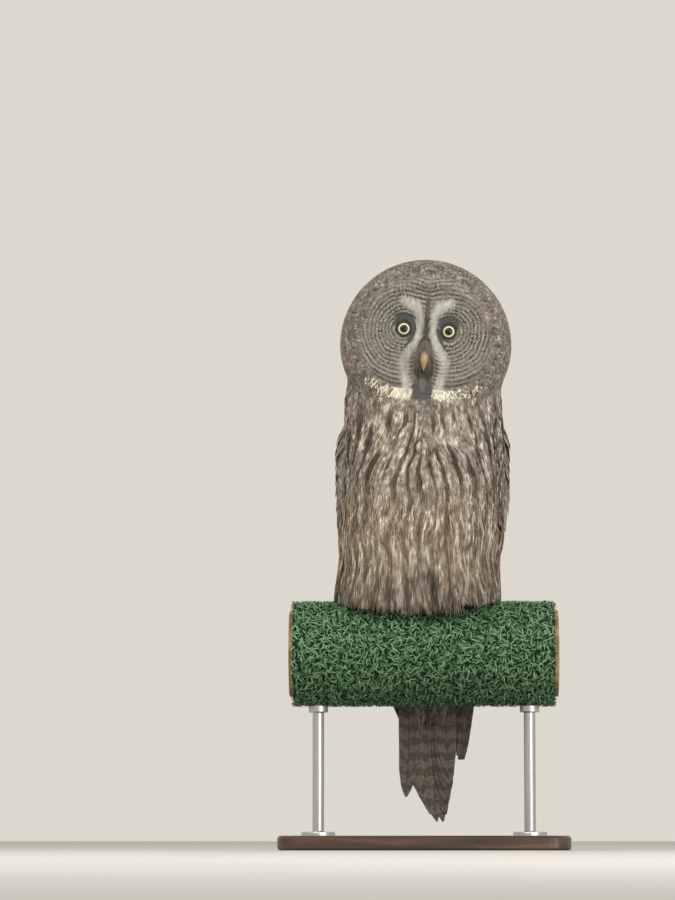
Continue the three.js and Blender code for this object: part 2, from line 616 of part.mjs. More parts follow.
const part = new THREE.Group();
function add(name, made, color, roughness = 0.9, metalness = 0) {
  const material = new THREE.MeshStandardMaterial({ color, roughness, metalness });
  const mesh = new THREE.Mesh(geometryOf(largest(made)), material);
  mesh.name = name;
  part.add(mesh);
}
const COLOR = {
  head: "#77736e",
  body: "#7a7068",
  flight: "#5d554d",
  legs: "#8b8178",
  eye: "#d9c64a",
  bill: "#d29a3c",
  claw: "#26221f",
  turf: "#2f6b3c",
  pole: "#a9825a",
  base: "#3a2c22",
  metal: "#b9bbbd",
};
add("head", head, COLOR.head);
add("neck", neck, COLOR.body);
add("torso", torso, COLOR.body);
add("bill_upper", billUpper(), COLOR.bill, 0.45);
add("bill_lower", billLower().subtract(billUpper(GAP)), COLOR.bill, 0.5);
[["left", 1], ["right", -1]].forEach(([name, side], i) => {
  const x = LEG.x[i];
  add(`${name}_eye`, eyeBall(side), COLOR.eye, 0.1);
  add(`${name}_wing`, wing(side), COLOR.flight);
  add(`${name}_leg`, leg(x), COLOR.legs);
  add(`${name}_foot`, foot(x, side), COLOR.legs);
  TOES.forEach((toe, k) => add(`${name}_claw_${k + 1}`, claw(x, side, toe), COLOR.claw, 0.3));
  add(`stand_rod_${name}`, rod(side), COLOR.metal, 0.35, 1);
});
add("tail", tail(), COLOR.flight);
add("perch_pole", solid(roundPole(POLE.radius, POLE.length, 40)), COLOR.pole, 0.7);
add("perch_turf", turf(), COLOR.turf, 0.95);
add("stand_base", baseBoard(), COLOR.base, 0.5);

export default part;
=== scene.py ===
"""Great grey owl, life size, on a short turf-covered perch: what is seen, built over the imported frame."""

import math

import bpy
import numpy as np
from mathutils import Matrix, Vector


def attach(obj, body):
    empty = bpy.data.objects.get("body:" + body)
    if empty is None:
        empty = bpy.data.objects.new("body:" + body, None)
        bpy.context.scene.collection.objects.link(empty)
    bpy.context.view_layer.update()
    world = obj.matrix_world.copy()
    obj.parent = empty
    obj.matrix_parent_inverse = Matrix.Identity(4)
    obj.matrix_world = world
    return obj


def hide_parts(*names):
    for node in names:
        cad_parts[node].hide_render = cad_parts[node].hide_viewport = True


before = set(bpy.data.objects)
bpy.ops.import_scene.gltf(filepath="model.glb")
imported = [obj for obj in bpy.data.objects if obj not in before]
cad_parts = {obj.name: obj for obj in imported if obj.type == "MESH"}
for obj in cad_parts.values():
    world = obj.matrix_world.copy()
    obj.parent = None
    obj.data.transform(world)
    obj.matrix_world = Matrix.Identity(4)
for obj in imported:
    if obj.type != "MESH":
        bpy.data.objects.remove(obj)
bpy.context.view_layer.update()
MM = 0.001
SIDES = (("left", 1), ("right", -1))
rng = np.random.default_rng(5)

# Driving dimensions in millimetres, as in the solids
POLE = {"z": 218.6, "radius": 48, "length": 300}
TURF = {"radius": 57.5, "length": 292, "mat": 55.4, "root": 54.6, "low": 54.3, "high": 59.5, "spacing": 2.45}
ROD = {"x": 118, "radius": 6.5, "foot": 19, "foot_thick": 4, "collar": 11, "collar_thick": 7}
BASE_THICK = 16
HEAD = {"half": 95, "up": 95, "down": 88, "front": 72, "back": 76, "roll": 4, "nod": 3}
HEAD_PLACE = np.array([3, 4, 566])
DISC = {"rx": 76, "rz": 65, "dish": 6, "rim": 3.5}
EYE = {"x": 25, "y": -56.5, "z": 13, "radius": 11.5, "iris": 6.6, "bulge": 1.6}
LID = {"radius": 7.7, "tube": 1.25, "proud": 8.5}
LEG = {"x": (36, -42), "y": 2, "top": 330, "foot": 296}
TAIL = {"x": 3, "root": 322, "tip": 32, "swing": 15}
SKIN_DEPTH, SKIN_VOXEL = 3, 2.1
# Half way round the front in millimetres, its radius, and the wings' back edge in degrees
FLOW_WIDTH, FRONT_RADIUS, WING_BACK = 133, 85, 86
# How far coverts and mantle stand out, and the heights between which the coverts thin out
COVERT_OUT, MANTLE_OUT, SHOULDER = 13.2, 15.6, (452, 486)

# Sections of the body: height, middle x, half width, front y, back y
BODY = np.array([
    [302, -6, 50, -34, 56], [309, -6, 68, -56, 65], [322, -5, 78, -69, 71], [345, -4, 83, -77, 75],
    [375, -3, 84, -82, 77], [410, -2, 85, -85, 78], [445, -1, 85, -85, 79], [475, 0, 85, -77, 80],
    [498, 0, 85, -61, 81], [520, 1, 84, -46, 78], [545, 3, 76, -34, 70], [568, 3, 60, -20, 56],
], float)
# Sections of the sheet that the folded wings follow: height, middle x, half width, middle y, half depth
WRAP = np.array([
    [50, 10, 24, 74, 8], [80, 8, 33, 73, 9], [110, 6, 43, 71, 11], [160, 3, 57, 67, 14],
    [218, 0, 72, 64, 17], [240, -1, 76, 60, 21], [260, -2, 79, 46, 35], [280, -3, 81, 24, 56],
    [300, -4, 83, 6, 72],
], float)
POWER = 2.25
# Sections of the tail's flesh: height, half width, front y, back y
TAIL_FLESH = np.array([
    [150, 14, 69, 74], [200, 16, 64, 73], [274, 17, 59, 72], [290, 22, 53, 73], [306, 25, 46, 74],
    [326, 20, 42, 72],
])
# Each toe: how far it splays, and the degrees round the turf of its root and its end
TOES = ((-14, -6, 23), (5, -6, 26), (18, -6, 10), (-4, -12, -42))
TOE_RADII = (8.4, 5.7)
# Heights and radii of a leg inside its feathers
LEG_FLESH = ((290, 11), (304, 12), (318, 15), (330, 18), (340, 20))
WING_FRONT = np.array([
    [75, 40], [110, 32], [160, 30], [218, 31], [260, 26], [300, 13], [340, 5], [400, -7], [450, -13],
    [480, -11], [500, -2],
], float)
TAIL_BACK = np.array([[32, 80], [100, 77], [160, 75.5], [218, 75], [270, 70.5], [322, 63]], float)

# Colours as seen: plumage, then turf, eyes, horn, wood and floor
INK = {
    "ring_dark": (72, 68, 62), "ring_light": (168, 162, 150), "lore": (216, 212, 202), "patch": (82, 83, 83),
    "midline": (92, 88, 81), "chin": (94, 90, 87), "throat": (114, 112, 109), "moustache": (244, 236, 212),
    "bristle": (116, 111, 104), "cere": (118, 104, 88), "crown_dark": (82, 74, 66), "crown": (126, 117, 106),
    "crown_light": (186, 174, 160), "streak": (76, 65, 56), "breast": (150, 138, 125),
    "pale": (224, 214, 200), "buff": (156, 139, 119), "belly_dark": (94, 80, 67), "back_dark": (70, 63, 55),
    "back": (110, 101, 90), "back_light": (166, 156, 142), "leg": (150, 139, 124), "leg_dark": (98, 88, 77),
    "turf_dark": (22, 50, 28), "turf": (60, 96, 60), "turf_light": (112, 146, 108),
    "lid_dark": (22, 22, 18), "lid": (54, 52, 40), "bill_base": (142, 116, 76), "bill_ridge": (178, 150, 102),
    "bill_tip": (158, 120, 72), "bill_lower": (190, 140, 66), "nostril": (40, 30, 20),
    "claw_base": (58, 52, 48), "claw": (14, 13, 13), "wood": (196, 156, 110), "wood_dark": (138, 98, 62),
    "floor_dark": (200, 198, 194), "floor": (208, 206, 202),
}
BACK = ("back_dark", "back", "back_light")
# Steps of a colour ramp: the iris from the pupil outward, and the base's varnished grain
IRIS = (
    (0.0, (22, 17, 14)), (0.39, (30, 24, 18)), (0.42, (118, 108, 70)), (0.46, (214, 206, 150)),
    (0.53, (240, 236, 205)), (0.6, (234, 228, 176)), (0.64, (150, 144, 96)), (0.68, (34, 32, 24)),
    (1.0, (26, 25, 20)),
)
VARNISH = ((0.3, (44, 30, 21)), (0.5, (70, 48, 32)), (0.68, (96, 68, 44)))


def lin(color):
    """A colour of 0 to 255 as seen, as linear light."""
    c = np.asarray(color, float) / 255
    return np.where(c < 0.04045, c / 12.92, ((c + 0.055) / 1.055) ** 2.4)


INK = {name: lin(color) for name, color in INK.items()}


# Small mathematics
def smooth(v, a, b):
    t = np.clip((v - a) / (b - a), 0, 1)
    return t * t * (3 - 2 * t)


def fade(v, a, b):
    return 1 - smooth(v, a, b)


def hump(v, middle, width):
    return np.exp(-(((v - middle) / width) ** 2))


def mix(a, b, t):
    return a + (b - a) * t


def tinted(a, b, t):
    """Colours from a to b by shares t."""
    return mix(a, b, np.asarray(t)[..., None])


def unit(v):
    return v / np.maximum(np.linalg.norm(v, axis=-1, keepdims=True), 1e-9)


def column(table, z, k):
    """Smooth value of one column of a table of sections at heights z."""
    zs, v = table[:, 0], table[:, k]
    j = np.arange(len(zs))
    after, before = np.minimum(j + 1, len(zs) - 1), np.maximum(j - 1, 0)
    slope = (v[after] - v[before]) / (zs[after] - zs[before])
    z = np.clip(z, zs[0], zs[-1])
    i = np.clip(np.searchsorted(zs, z) - 1, 0, len(zs) - 2)
    h = zs[i + 1] - zs[i]
    t = (z - zs[i]) / h
    bend = h * t * (1 - t) * ((1 - t) * slope[i] - t * slope[i + 1])
    return mix(v[i], v[i + 1], t * t * (3 - 2 * t)) + bend


def stack(*parts):
    """Points or rows from their parts, which are numbers or arrays."""
    return np.stack(np.broadcast_arrays(*parts), -1)


def shade_by_row(*row_shade):
    """Painted shade along a blade: factors from its darker root, under the coat, to its tip, which is a
    little lighter.
    """
    return np.array(row_shade)[None, :, None, None]


def full_turn(step):
    """Angles all round, in one row."""
    return np.radians(np.arange(0, 360, step))[None]


def sphere(polar, around):
    """Directions by their angle from the front and their angle round it."""
    return stack(np.sin(polar) * np.cos(around), -np.cos(polar), np.sin(polar) * np.sin(around))


def hashed(cells, seed):
    """A repeatable value from 0 to 1 for each whole-number cell."""
    mixed = (cells * np.array([73856093, 19349663, 83492791])).sum(-1) + seed * 40503
    mixed = (mixed ^ (mixed >> 13)) * 1274126177
    return ((mixed ^ (mixed >> 16)) & 0xFFFFFF) / 0xFFFFFF


def noise(p, size, seed):
    """Smooth noise from -1 to 1 with features of a size."""
    q = np.asarray(p) / size
    cell = np.floor(q).astype(np.int64)
    f = q - cell
    f = f * f * (3 - 2 * f)
    total = 0
    for corner in np.ndindex(2, 2, 2):
        total = total + np.prod(np.where(corner, f, 1 - f), -1) * hashed(cell + corner, seed)
    return 2 * total - 1


# Surfaces. Angle 0 is the owl's left side and 90 degrees its back
def section(x, half, y, depth, angle, power, z):
    c, s = np.cos(angle), np.sin(angle)
    k = (np.abs(c) ** power + np.abs(s) ** power) ** (-1 / power)
    return stack(x + half * c * k, y + depth * s * k, z)


def body_section(z):
    """The body at heights z: middle x, half width, middle y and half depth."""
    x, half, front, back = (column(BODY, z, k) for k in (1, 2, 3, 4))
    return x, half, (back + front) / 2, (back - front) / 2


def body_point(z, angle, out):
    x, half, y, depth = body_section(z)
    return section(x, half + out, y, depth + out, angle, POWER, z)


def wrap_point(z, angle, out):
    """A point on the sheet that the wings follow, which leaves the body below it."""
    z = np.asarray(z, float)
    high = body_point(np.maximum(z, 300), angle, out)
    x, half, y, depth = (column(WRAP, z, k) for k in (1, 2, 3, 4))
    low = section(x, half + out, y, depth + out, angle, POWER, z)
    made = mix(low, high, smooth(z, 300, 345)[..., None])
    made[..., 2] = z
    return made


def skirt_point(z, angle, out):
    """The sheet that the belly's plumes hang on, in front of the toes."""
    z = np.asarray(z, float)
    free = section(-5, 86 + out, 0, 58 + out, angle, 2.6, z)
    made = mix(body_point(np.maximum(z, 330), angle, out), free, 1 - smooth(z, 272, 330)[..., None])
    made[..., 2] = z
    return made


def tail_point(z, across, out):
    share = np.clip((TAIL["root"] - z) / (TAIL["root"] - TAIL["tip"]), 0, 1)
    return stack(TAIL["x"] + TAIL["swing"] * share**5 + across, column(TAIL_BACK, z, 1) + out, z)


HEAD_TURN = np.array(
    Matrix.Rotation(math.radians(HEAD["roll"]), 3, "Y") @ Matrix.Rotation(math.radians(HEAD["nod"]), 3, "X")
)


def to_head(p):
    return (p - HEAD_PLACE) @ HEAD_TURN


def from_head(h):
    return np.asarray(h) @ HEAD_TURN.T + HEAD_PLACE


def relief(x, z):
    """How far the face stands back from the head's plain front."""
    e = np.hypot(x / DISC["rx"], z / DISC["rz"])
    dish = DISC["dish"] * np.clip(1 - e * e, 0, None)
    rim = DISC["rim"] * hump(e, 1, 0.1)
    dips = sum(np.exp(-((x - s * EYE["x"]) ** 2 + (z - EYE["z"]) ** 2) / 338) for _, s in SIDES)
    ridge = 11 * hump(x, 0, 9) * smooth(z, -40, -14) * fade(z, 22, 48)
    chin = 5 * np.exp(-((x / 26) ** 2) - ((z + 47) / 15) ** 2)
    return dish - rim + 4 * dips - ridge - chin


def ball_reach(h):
    """How far out a direction from the head's middle meets its plain ball, as a share of h."""
    x, y, z = h[..., 0], h[..., 1], h[..., 2]
    share = np.hypot(x / HEAD["half"], z / np.where(z > 0, HEAD["up"], HEAD["down"]))
    depth = np.abs(y) / np.where(y < 0, HEAD["front"], HEAD["back"])
    power = np.where(y < 0, 3.3, 2.2)
    return (share**power + depth**power + 1e-12) ** (-1 / power)


def face_relief(h):
    """The relief of the face, which fades out round the head's sides."""
    return relief(h[..., 0], h[..., 2]) * smooth(-h[..., 1], 0, 12)


def head_gap(p):
    h = to_head(p)
    h[..., 1] -= face_relief(h)
    return np.linalg.norm(h, axis=-1) * (1 - ball_reach(h))


def body_gap(p):
    low, high = BODY[0, 0], BODY[-1, 0]
    x, half, y, depth = body_section(np.clip(p[..., 2], low, high))
    dx, dy = p[..., 0] - x, p[..., 1] - y
    k = (np.abs(dx / half) ** POWER + np.abs(dy / depth) ** POWER + 1e-12) ** (1 / POWER)
    radial = np.hypot(dx, dy) * (1 - 1 / k)
    return np.maximum(radial, np.maximum(low - p[..., 2], p[..., 2] - high))


def flesh(p):
    """Distance outside the plain form of head and body, which blend at the neck."""
    a, b = head_gap(p), body_gap(p)
    t = np.clip(0.5 + (b - a) / 16, 0, 1)
    return mix(b, a, t) - 8 * t * (1 - t)


def facing(p):
    """The flesh's outward direction at p."""
    steps = np.eye(3) * 0.6
    return unit(np.stack([flesh(p + step) - flesh(p - step) for step in steps], -1))


def settle(p, out):
    """Points moved along the flesh's normals to stand out from it by a distance, and those normals."""
    for _ in range(2):
        normal = facing(p)
        p = p - (flesh(p) - out)[..., None] * normal
    return p, normal


# Making meshes
def placed(name, data):
    made = bpy.data.objects.new(name, data)
    bpy.context.scene.collection.objects.link(made)
    return made


def finish_object(name, mesh, material, slot, *nodes):
    """A piece, with the solids that it replaces. The slot is not used."""
    made = placed(name, mesh)
    mesh.materials.append(material)
    mesh.shade_smooth()
    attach(made, "root")
    if nodes:
        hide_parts(*nodes)


def set_tint(mesh, colors):
    """Linear colours on the points of a mesh."""
    layer = mesh.color_attributes.new("Tint", "FLOAT_COLOR", "POINT")
    rgba = np.ones((len(mesh.vertices), 4), np.float32)
    rgba[:, :3] = np.clip(np.broadcast_to(colors, (len(rgba), 3)), 0, 1)
    layer.data.foreach_set("color", rgba.ravel())


def set_map(mesh, name, uv, corners):
    layer = mesh.uv_layers.new(name=name)
    layer.data.foreach_set("uv", np.asarray(uv, np.float32)[corners].ravel())


def grid_mesh(name, points, colors, charts, patch=0.003, lengths=None):
    """A mesh of blades, given as points (blade, row, column), with colours and places on the skin's map."""
    count, rows, columns = points.shape[:3]
    mesh = bpy.data.meshes.new(name)
    index = np.arange(count * rows * columns).reshape(count, rows, columns)
    quads = np.stack([index[:, :-1, :-1], index[:, :-1, 1:], index[:, 1:, 1:], index[:, 1:, :-1]], -1)
    corners = quads.ravel()
    mesh.vertices.add(points.size // 3)
    mesh.vertices.foreach_set("co", (points * MM).astype(np.float32).ravel())
    mesh.loops.add(len(corners))
    mesh.loops.foreach_set("vertex_index", corners.astype(np.int32))
    mesh.polygons.add(len(corners) // 4)
    mesh.polygons.foreach_set("loop_start", np.arange(0, len(corners), 4, dtype=np.int32))
    mesh.update(calc_edges=True)
    along, across = np.meshgrid(np.linspace(-0.5, 0.5, rows), np.linspace(-0.5, 0.5, columns), indexing="ij")
    local = stack(across, along)[None] * np.reshape(patch, (-1, 1, 1, 1))
    set_map(mesh, "OFBake", (charts[:, None, None] + local).reshape(-1, 2), corners)
    if lengths is not None:
        vane = np.broadcast_to(stack(across, along) + 0.5, (count, rows, columns, 2)).copy()
        vane[..., 1] *= lengths[:, None, None] / 100
        set_map(mesh, "Vane", vane.reshape(-1, 2), corners)
    set_tint(mesh, np.broadcast_to(colors, points.shape).reshape(-1, 3))
    return mesh


def ring_mesh(name, rings, loop=False):
    """A mesh through rings (ring, point) of points, with its ends closed or, in a loop, met."""
    count, round_ = rings.shape[:2]
    faces = []
    for i in range(count if loop else count - 1):
        for k in range(round_):
            n, j = (k + 1) % round_, (i + 1) % count
            faces.append((i * round_ + k, i * round_ + n, j * round_ + n, j * round_ + k))
    if not loop:
        faces.append(tuple(range(round_))[::-1])
        faces.append(tuple(range((count - 1) * round_, count * round_)))
    mesh = bpy.data.meshes.new(name)
    mesh.from_pydata((rings.reshape(-1, 3) * MM).tolist(), [], faces)
    mesh.update()
    return mesh


def curve_points(points, count):
    """Points evenly along a smooth curve through a few points."""
    p = np.asarray(points, float)
    ends = np.concatenate([[2 * p[0] - p[1]], p, [2 * p[-1] - p[-2]]])
    t = np.linspace(0, len(p) - 1, count)
    i = np.minimum(t.astype(int), len(p) - 2)
    f = (t - i)[:, None]
    a, b, c, d = (ends[i + k] for k in range(4))
    return 0.5 * (2 * b + (c - a) * f + (2 * a - 5 * b + 4 * c - d) * f**2 + (3 * b - a - 3 * c + d) * f**3)


def tube_rings(points, radii, rows, sides, flat=1.0, up=(0, 0, 1), grow=0.0):
    """Rings round a curve, with radii spread evenly along it."""
    middle = curve_points(points, rows)
    ahead = unit(np.gradient(middle, axis=0))
    side = unit(np.cross(ahead, up))
    normal = np.cross(side, ahead)
    share = np.linspace(0, len(radii) - 1, rows)
    radius = (np.interp(share, range(len(radii)), radii) + grow)[:, None, None]
    turn = 2 * np.pi * np.arange(sides) / sides
    around = np.cos(turn)[:, None] * side[:, None] + flat * np.sin(turn)[:, None] * normal[:, None]
    return middle[:, None] + radius * around


# Materials
class Nodes:
    """Short names for building one material's nodes."""

    def __init__(self, name, roughness, **settings):
        self.material = bpy.data.materials.new(name)
        self.material.use_nodes = True
        self.tree = self.material.node_tree
        self.shader = self.tree.nodes["Principled BSDF"]
        self.set("Roughness", roughness)
        for key, value in settings.items():
            self.shader.inputs[key.replace("_", " ")].default_value = value

    def put(self, socket, value):
        if isinstance(value, bpy.types.NodeSocket):
            self.tree.links.new(value, socket)
        else:
            socket.default_value = value

    def set(self, name, value):
        self.put(self.shader.inputs[name], value)

    def node(self, kind, inputs):
        """A new node, with inputs by their names or numbers."""
        node = self.tree.nodes.new(kind)
        for key, value in inputs.items():
            self.put(node.inputs[key], value)
        return node

    def place(self):
        return self.node("ShaderNodeTexCoord", {}).outputs["Object"]

    def tint(self):
        node = self.node("ShaderNodeAttribute", {})
        node.attribute_name = "Tint"
        return node.outputs["Color"]

    def parts(self, vector):
        return self.node("ShaderNodeSeparateXYZ", {0: vector}).outputs

    def map(self, name):
        node = self.node("ShaderNodeUVMap", {})
        node.uv_map = name
        return self.parts(node.outputs[0])[:2]

    def stretched(self, vector, scale):
        return self.node("ShaderNodeMapping", {"Vector": vector, "Scale": scale}).outputs[0]

    def noise(self, vector, scale, detail, rough=0.6, distort=0.0):
        inputs = {"Vector": vector, "Scale": scale, "Detail": detail, "Roughness": rough}
        inputs["Distortion"] = distort
        return self.node("ShaderNodeTexNoise", inputs).outputs["Fac"]

    def math(self, kind, a, b=0.0):
        node = self.node("ShaderNodeMath", {0: a, 1: b})
        node.operation = kind
        return node.outputs[0]

    def add(self, a, b):
        return self.math("ADD", a, b)

    def minus(self, a, b):
        return self.math("SUBTRACT", a, b)

    def times(self, a, b):
        return self.math("MULTIPLY", a, b)

    def length(self, a, b):
        return self.math("SQRT", self.add(self.times(a, a), self.times(b, b)))

    def span(self, value, low, high, to_low=0.0, to_high=1.0):
        inputs = (value, low, high, to_low, to_high)
        return self.node("ShaderNodeMapRange", dict(enumerate(inputs))).outputs[0]

    def blend(self, a, b, share, kind="MIX"):
        node = self.node("ShaderNodeMix", {0: share})
        node.data_type = "RGBA"
        node.blend_type = kind
        for i, color in ((6, a), (7, b)):
            self.put(node.inputs[i], color if isinstance(color, bpy.types.NodeSocket) else (*color, 1))
        return node.outputs[2]

    def ramp(self, value, stops):
        node = self.node("ShaderNodeValToRGB", {0: value})
        elements = node.color_ramp.elements
        while len(elements) < len(stops):
            elements.new(0.5)
        for element, (place, color) in zip(elements, stops):
            element.position = place
            element.color = (*lin(color), 1)
        return node.outputs[0]

    def shaded(self, color, low, high, share):
        """A colour times a factor that goes from low to high."""
        return self.blend(color, self.blend(grey(low), grey(high), share), 1.0, "MULTIPLY")

    def bump(self, height, strength, distance):
        inputs = {"Height": height, "Strength": strength, "Distance": distance}
        self.set("Normal", self.node("ShaderNodeBump", inputs).outputs[0])


def grey(value):
    return (value, value, value)


def feather_material(name, barb, fleck):
    """Soft plumage in its own tint, with fine barbs and faint flecks."""
    n = Nodes(name, 0.9, Sheen_Weight=0.12, Sheen_Roughness=0.6, Specular_IOR_Level=0.18)
    place = n.place()
    barbs = n.noise(n.stretched(place, (1, 1, 0.35)), 1100, 2)
    flecks = n.noise(place, 260, 4)
    color = n.shaded(n.tint(), 1 - barb, 1 + barb, n.span(barbs, 0.3, 0.7))
    n.set("Base Color", n.shaded(color, 1 - fleck, 1 + fleck, n.span(flecks, 0.32, 0.68)))
    n.set("Roughness", n.span(flecks, 0, 1, 0.8, 1.0))
    n.bump(barbs, 0.5, 0.0004)
    return n.material


def vane_material(name, bar_every, dark, light, edge):
    """Broad feathers: bars across, a shaft, slanted barbs and pale frayed edges, over their tint."""
    n = Nodes(name, 0.75, Sheen_Weight=0.1, Specular_IOR_Level=0.25)
    across, along = n.map("Vane")
    place = n.place()
    off = n.math("ABSOLUTE", n.minus(across, 0.5))
    wobble = n.noise(place, 170, 3)
    mottle = n.noise(place, 520, 4, 0.7)
    uneven = n.minus(mottle, 0.5)
    slant = n.add(along, n.times(off, 0.1))
    phase = n.add(n.math("DIVIDE", slant, bar_every / 100), n.times(wobble, 1.7))
    wave = n.math("SINE", n.times(phase, 2 * math.pi))
    color = n.shaded(n.tint(), dark, light, n.span(n.add(wave, n.times(uneven, 4.6)), -0.8, 0.8))
    color = n.shaded(color, 1, edge, n.span(n.add(off, n.times(uneven, 0.16)), 0.38, 0.48))
    shaft = n.span(off, 0.012, 0.035, 1, 0)
    color = n.blend(color, INK["back_dark"] * 0.7, n.times(shaft, 0.6))
    barb_phase = n.add(n.times(along, 900), n.times(off, 60))
    barbs = n.math("SINE", n.add(barb_phase, n.times(wobble, 12)))
    n.set("Base Color", n.shaded(color, 0.86, 1.1, n.span(barbs, -1, 1)))
    n.set("Roughness", n.span(mottle, 0.3, 0.7, 0.62, 0.85))
    n.bump(n.add(n.times(barbs, 0.35), n.times(shaft, 1.5)), 0.5, 0.0003)
    return n.material


FEATHER = feather_material("soft_plumage", 0.24, 0.14)
FACE = feather_material("face_plumage", 0.12, 0.06)
COVERT = vane_material("covert_feathers", 9, 0.68, 1.25, 1.3)
FLIGHT = vane_material("flight_feathers", 17, 0.62, 1.25, 1.3)

# Markings, and some painted shade. The lines of the face are given for half of it: distance from its middle,
# height and half width
LORE = [
    (26, 45, 6), (15, 40, 7.5), (8.5, 30, 5.5), (7.5, 14, 4.2), (11, 0, 4.5), (18, -12, 6), (23, -25, 6.5),
    (21, -38, 5.5), (18, -50, 6),
]
MOUSTACHE = [(15, -59.5, 7.5), (30, -58, 5.2), (46, -53, 3.2), (60, -43, 1.8)]
EYE_LINE = [(13.5, 14, 2.6), (16, 3, 2), (20.5, -5, 1.5), (25, -10, 0.8)]


def near_line(x, z, line):
    """Distance from a line, as a share of its half width."""
    best = np.full(x.shape, 9.0)
    for (x0, z0, w0), (x1, z1, w1) in zip(line, line[1:]):
        dx, dz = x1 - x0, z1 - z0
        t = np.clip(((x - x0) * dx + (z - z0) * dz) / (dx * dx + dz * dz), 0, 1)
        best = np.minimum(best, np.hypot(x - x0 - t * dx, z - z0 - t * dz) / mix(w0, w1, t))
    return best


def three(names, value):
    """From one colour through a second to a third as value goes from 0 to 1."""
    dark, middle, light = (INK[name] for name in names)
    return tinted(tinted(dark, middle, smooth(value, 0.05, 0.5)), light, smooth(value, 0.5, 0.95))


def disc_share(h):
    """How far out from the middle of the face a place is: 1 at the edge of its rings."""
    return np.hypot(h[..., 0] / DISC["rx"], h[..., 2] / (DISC["rz"] + 11 * (h[..., 2] > 0)))


def paint_crown(p):
    value = 0.47 + 0.5 * noise(p, 1.5, 4) + 0.22 * noise(p, 6, 5)
    color = three(("crown_dark", "crown", "crown_light"), value)
    # Painted shade: the crown is made darker towards the top of the head, against the key light from above
    return color * (1 - 0.16 * smooth(p[..., 2], 622, 655))[..., None]


def paint_face(h):
    """Rings round the eyes under the lores, dark patches, middle line, moustache, chin and throat."""
    x, z = h[..., 0], h[..., 2]
    side = np.abs(x)
    from_eye = np.hypot(np.hypot(x, 7) - EYE["x"] - 1, (z - EYE["z"]) * 0.96)
    wave = 1.5 * noise(h, 15, 1) + (0.5 + 0.4 * smooth(z - side / 2, 10, 50)) * noise(h, 5, 2)
    strong = np.clip(0.5 + 0.4 * noise(h, 9, 3), 0.25, 0.62)
    ring = strong * np.cos(2 * np.pi * (from_eye + wave) / (3.6 + 0.008 * from_eye))
    ring = 0.5 + ring + 0.12 * noise(h, 1.5, 19)
    color = tinted(INK["ring_dark"], INK["ring_light"], np.clip(ring, 0, 1))
    share = 1.05 * disc_share(h) + 0.05 * noise(h, 9, 14)
    color = tinted(color, paint_crown(from_head(h)), smooth(share, 0.94, 1.08))
    bristled = fade(np.hypot(x / 16, (z + 30) / 27), 0.7, 1.1)
    color = tinted(color, INK["bristle"], 0.7 * bristled)
    streaks = 0.5 + 0.5 * noise(h * [1, 1, 0.3], 2.2, 6)
    hairs = noise(h * [1, 1, 0.35], 1.6, 25)
    lore = fade(near_line(side, z, LORE) + 0.3 * hairs, 0.25, 1.3)
    lore = lore * (1 - 0.42 * smooth(-z, 2, 36) + 0.3 * smooth(-z, 34, 46))
    color = tinted(color, INK["lore"] * (0.62 + 0.38 * streaks)[..., None], lore)
    patch = fade(np.hypot(side - 25.2, z - 20), 10.2, 13.8)
    patch = patch * smooth(z + 0.3 * (side - 25), 7, 14)
    line = fade(near_line(side, z, EYE_LINE), 0.6, 1.2)
    rim = fade(from_eye, 9.2, 11.5)
    color = tinted(color, INK["patch"], np.maximum(np.maximum(patch, line), 0.8 * rim))
    middle = fade(side, 1.2, 3.8) * smooth(z, -16, -6) * fade(z, 44, 60)
    color = tinted(color, INK["midline"], middle)
    above = hump(near_line(side, z - 9, MOUSTACHE), 0, 1) * smooth(side, 20, 27)
    color = tinted(color, INK["streak"], 0.45 * above)
    solid = smooth(0.9 * noise(h, 2.4, 15) + 1.25 - side / 38, 0, 0.35)
    pale = fade(near_line(side, z, MOUSTACHE), 0.65, 1.1) * solid
    color = tinted(color, INK["moustache"] * (0.82 + 0.18 * streaks)[..., None], pale)
    width = 5 + 6.5 * smooth(-z, 34, 52)
    chin = fade(side - width, -1.5, 1.5) * smooth(-z, 29, 34) * fade(-z, 60, 68)
    throat = fade(np.hypot(x / 4.5, (z + 46) / 11), 0.5, 1.2)
    return tinted(color, tinted(INK["chin"], INK["throat"], throat), chin)


# The flow of the front's plumage, which spreads from the chin. A place across it runs from -1 to 1
def flow_power(z):
    return mix(1.0, 1.8, smooth(z, 400, 478))


def flow_angle(z, q):
    return np.radians(90 * np.sign(q) * np.abs(q) ** flow_power(z) - 90)


def flow_place(z, angle):
    s = np.degrees(angle) / 90 + 1
    return np.sign(s) * np.abs(s) ** (1 / flow_power(z))


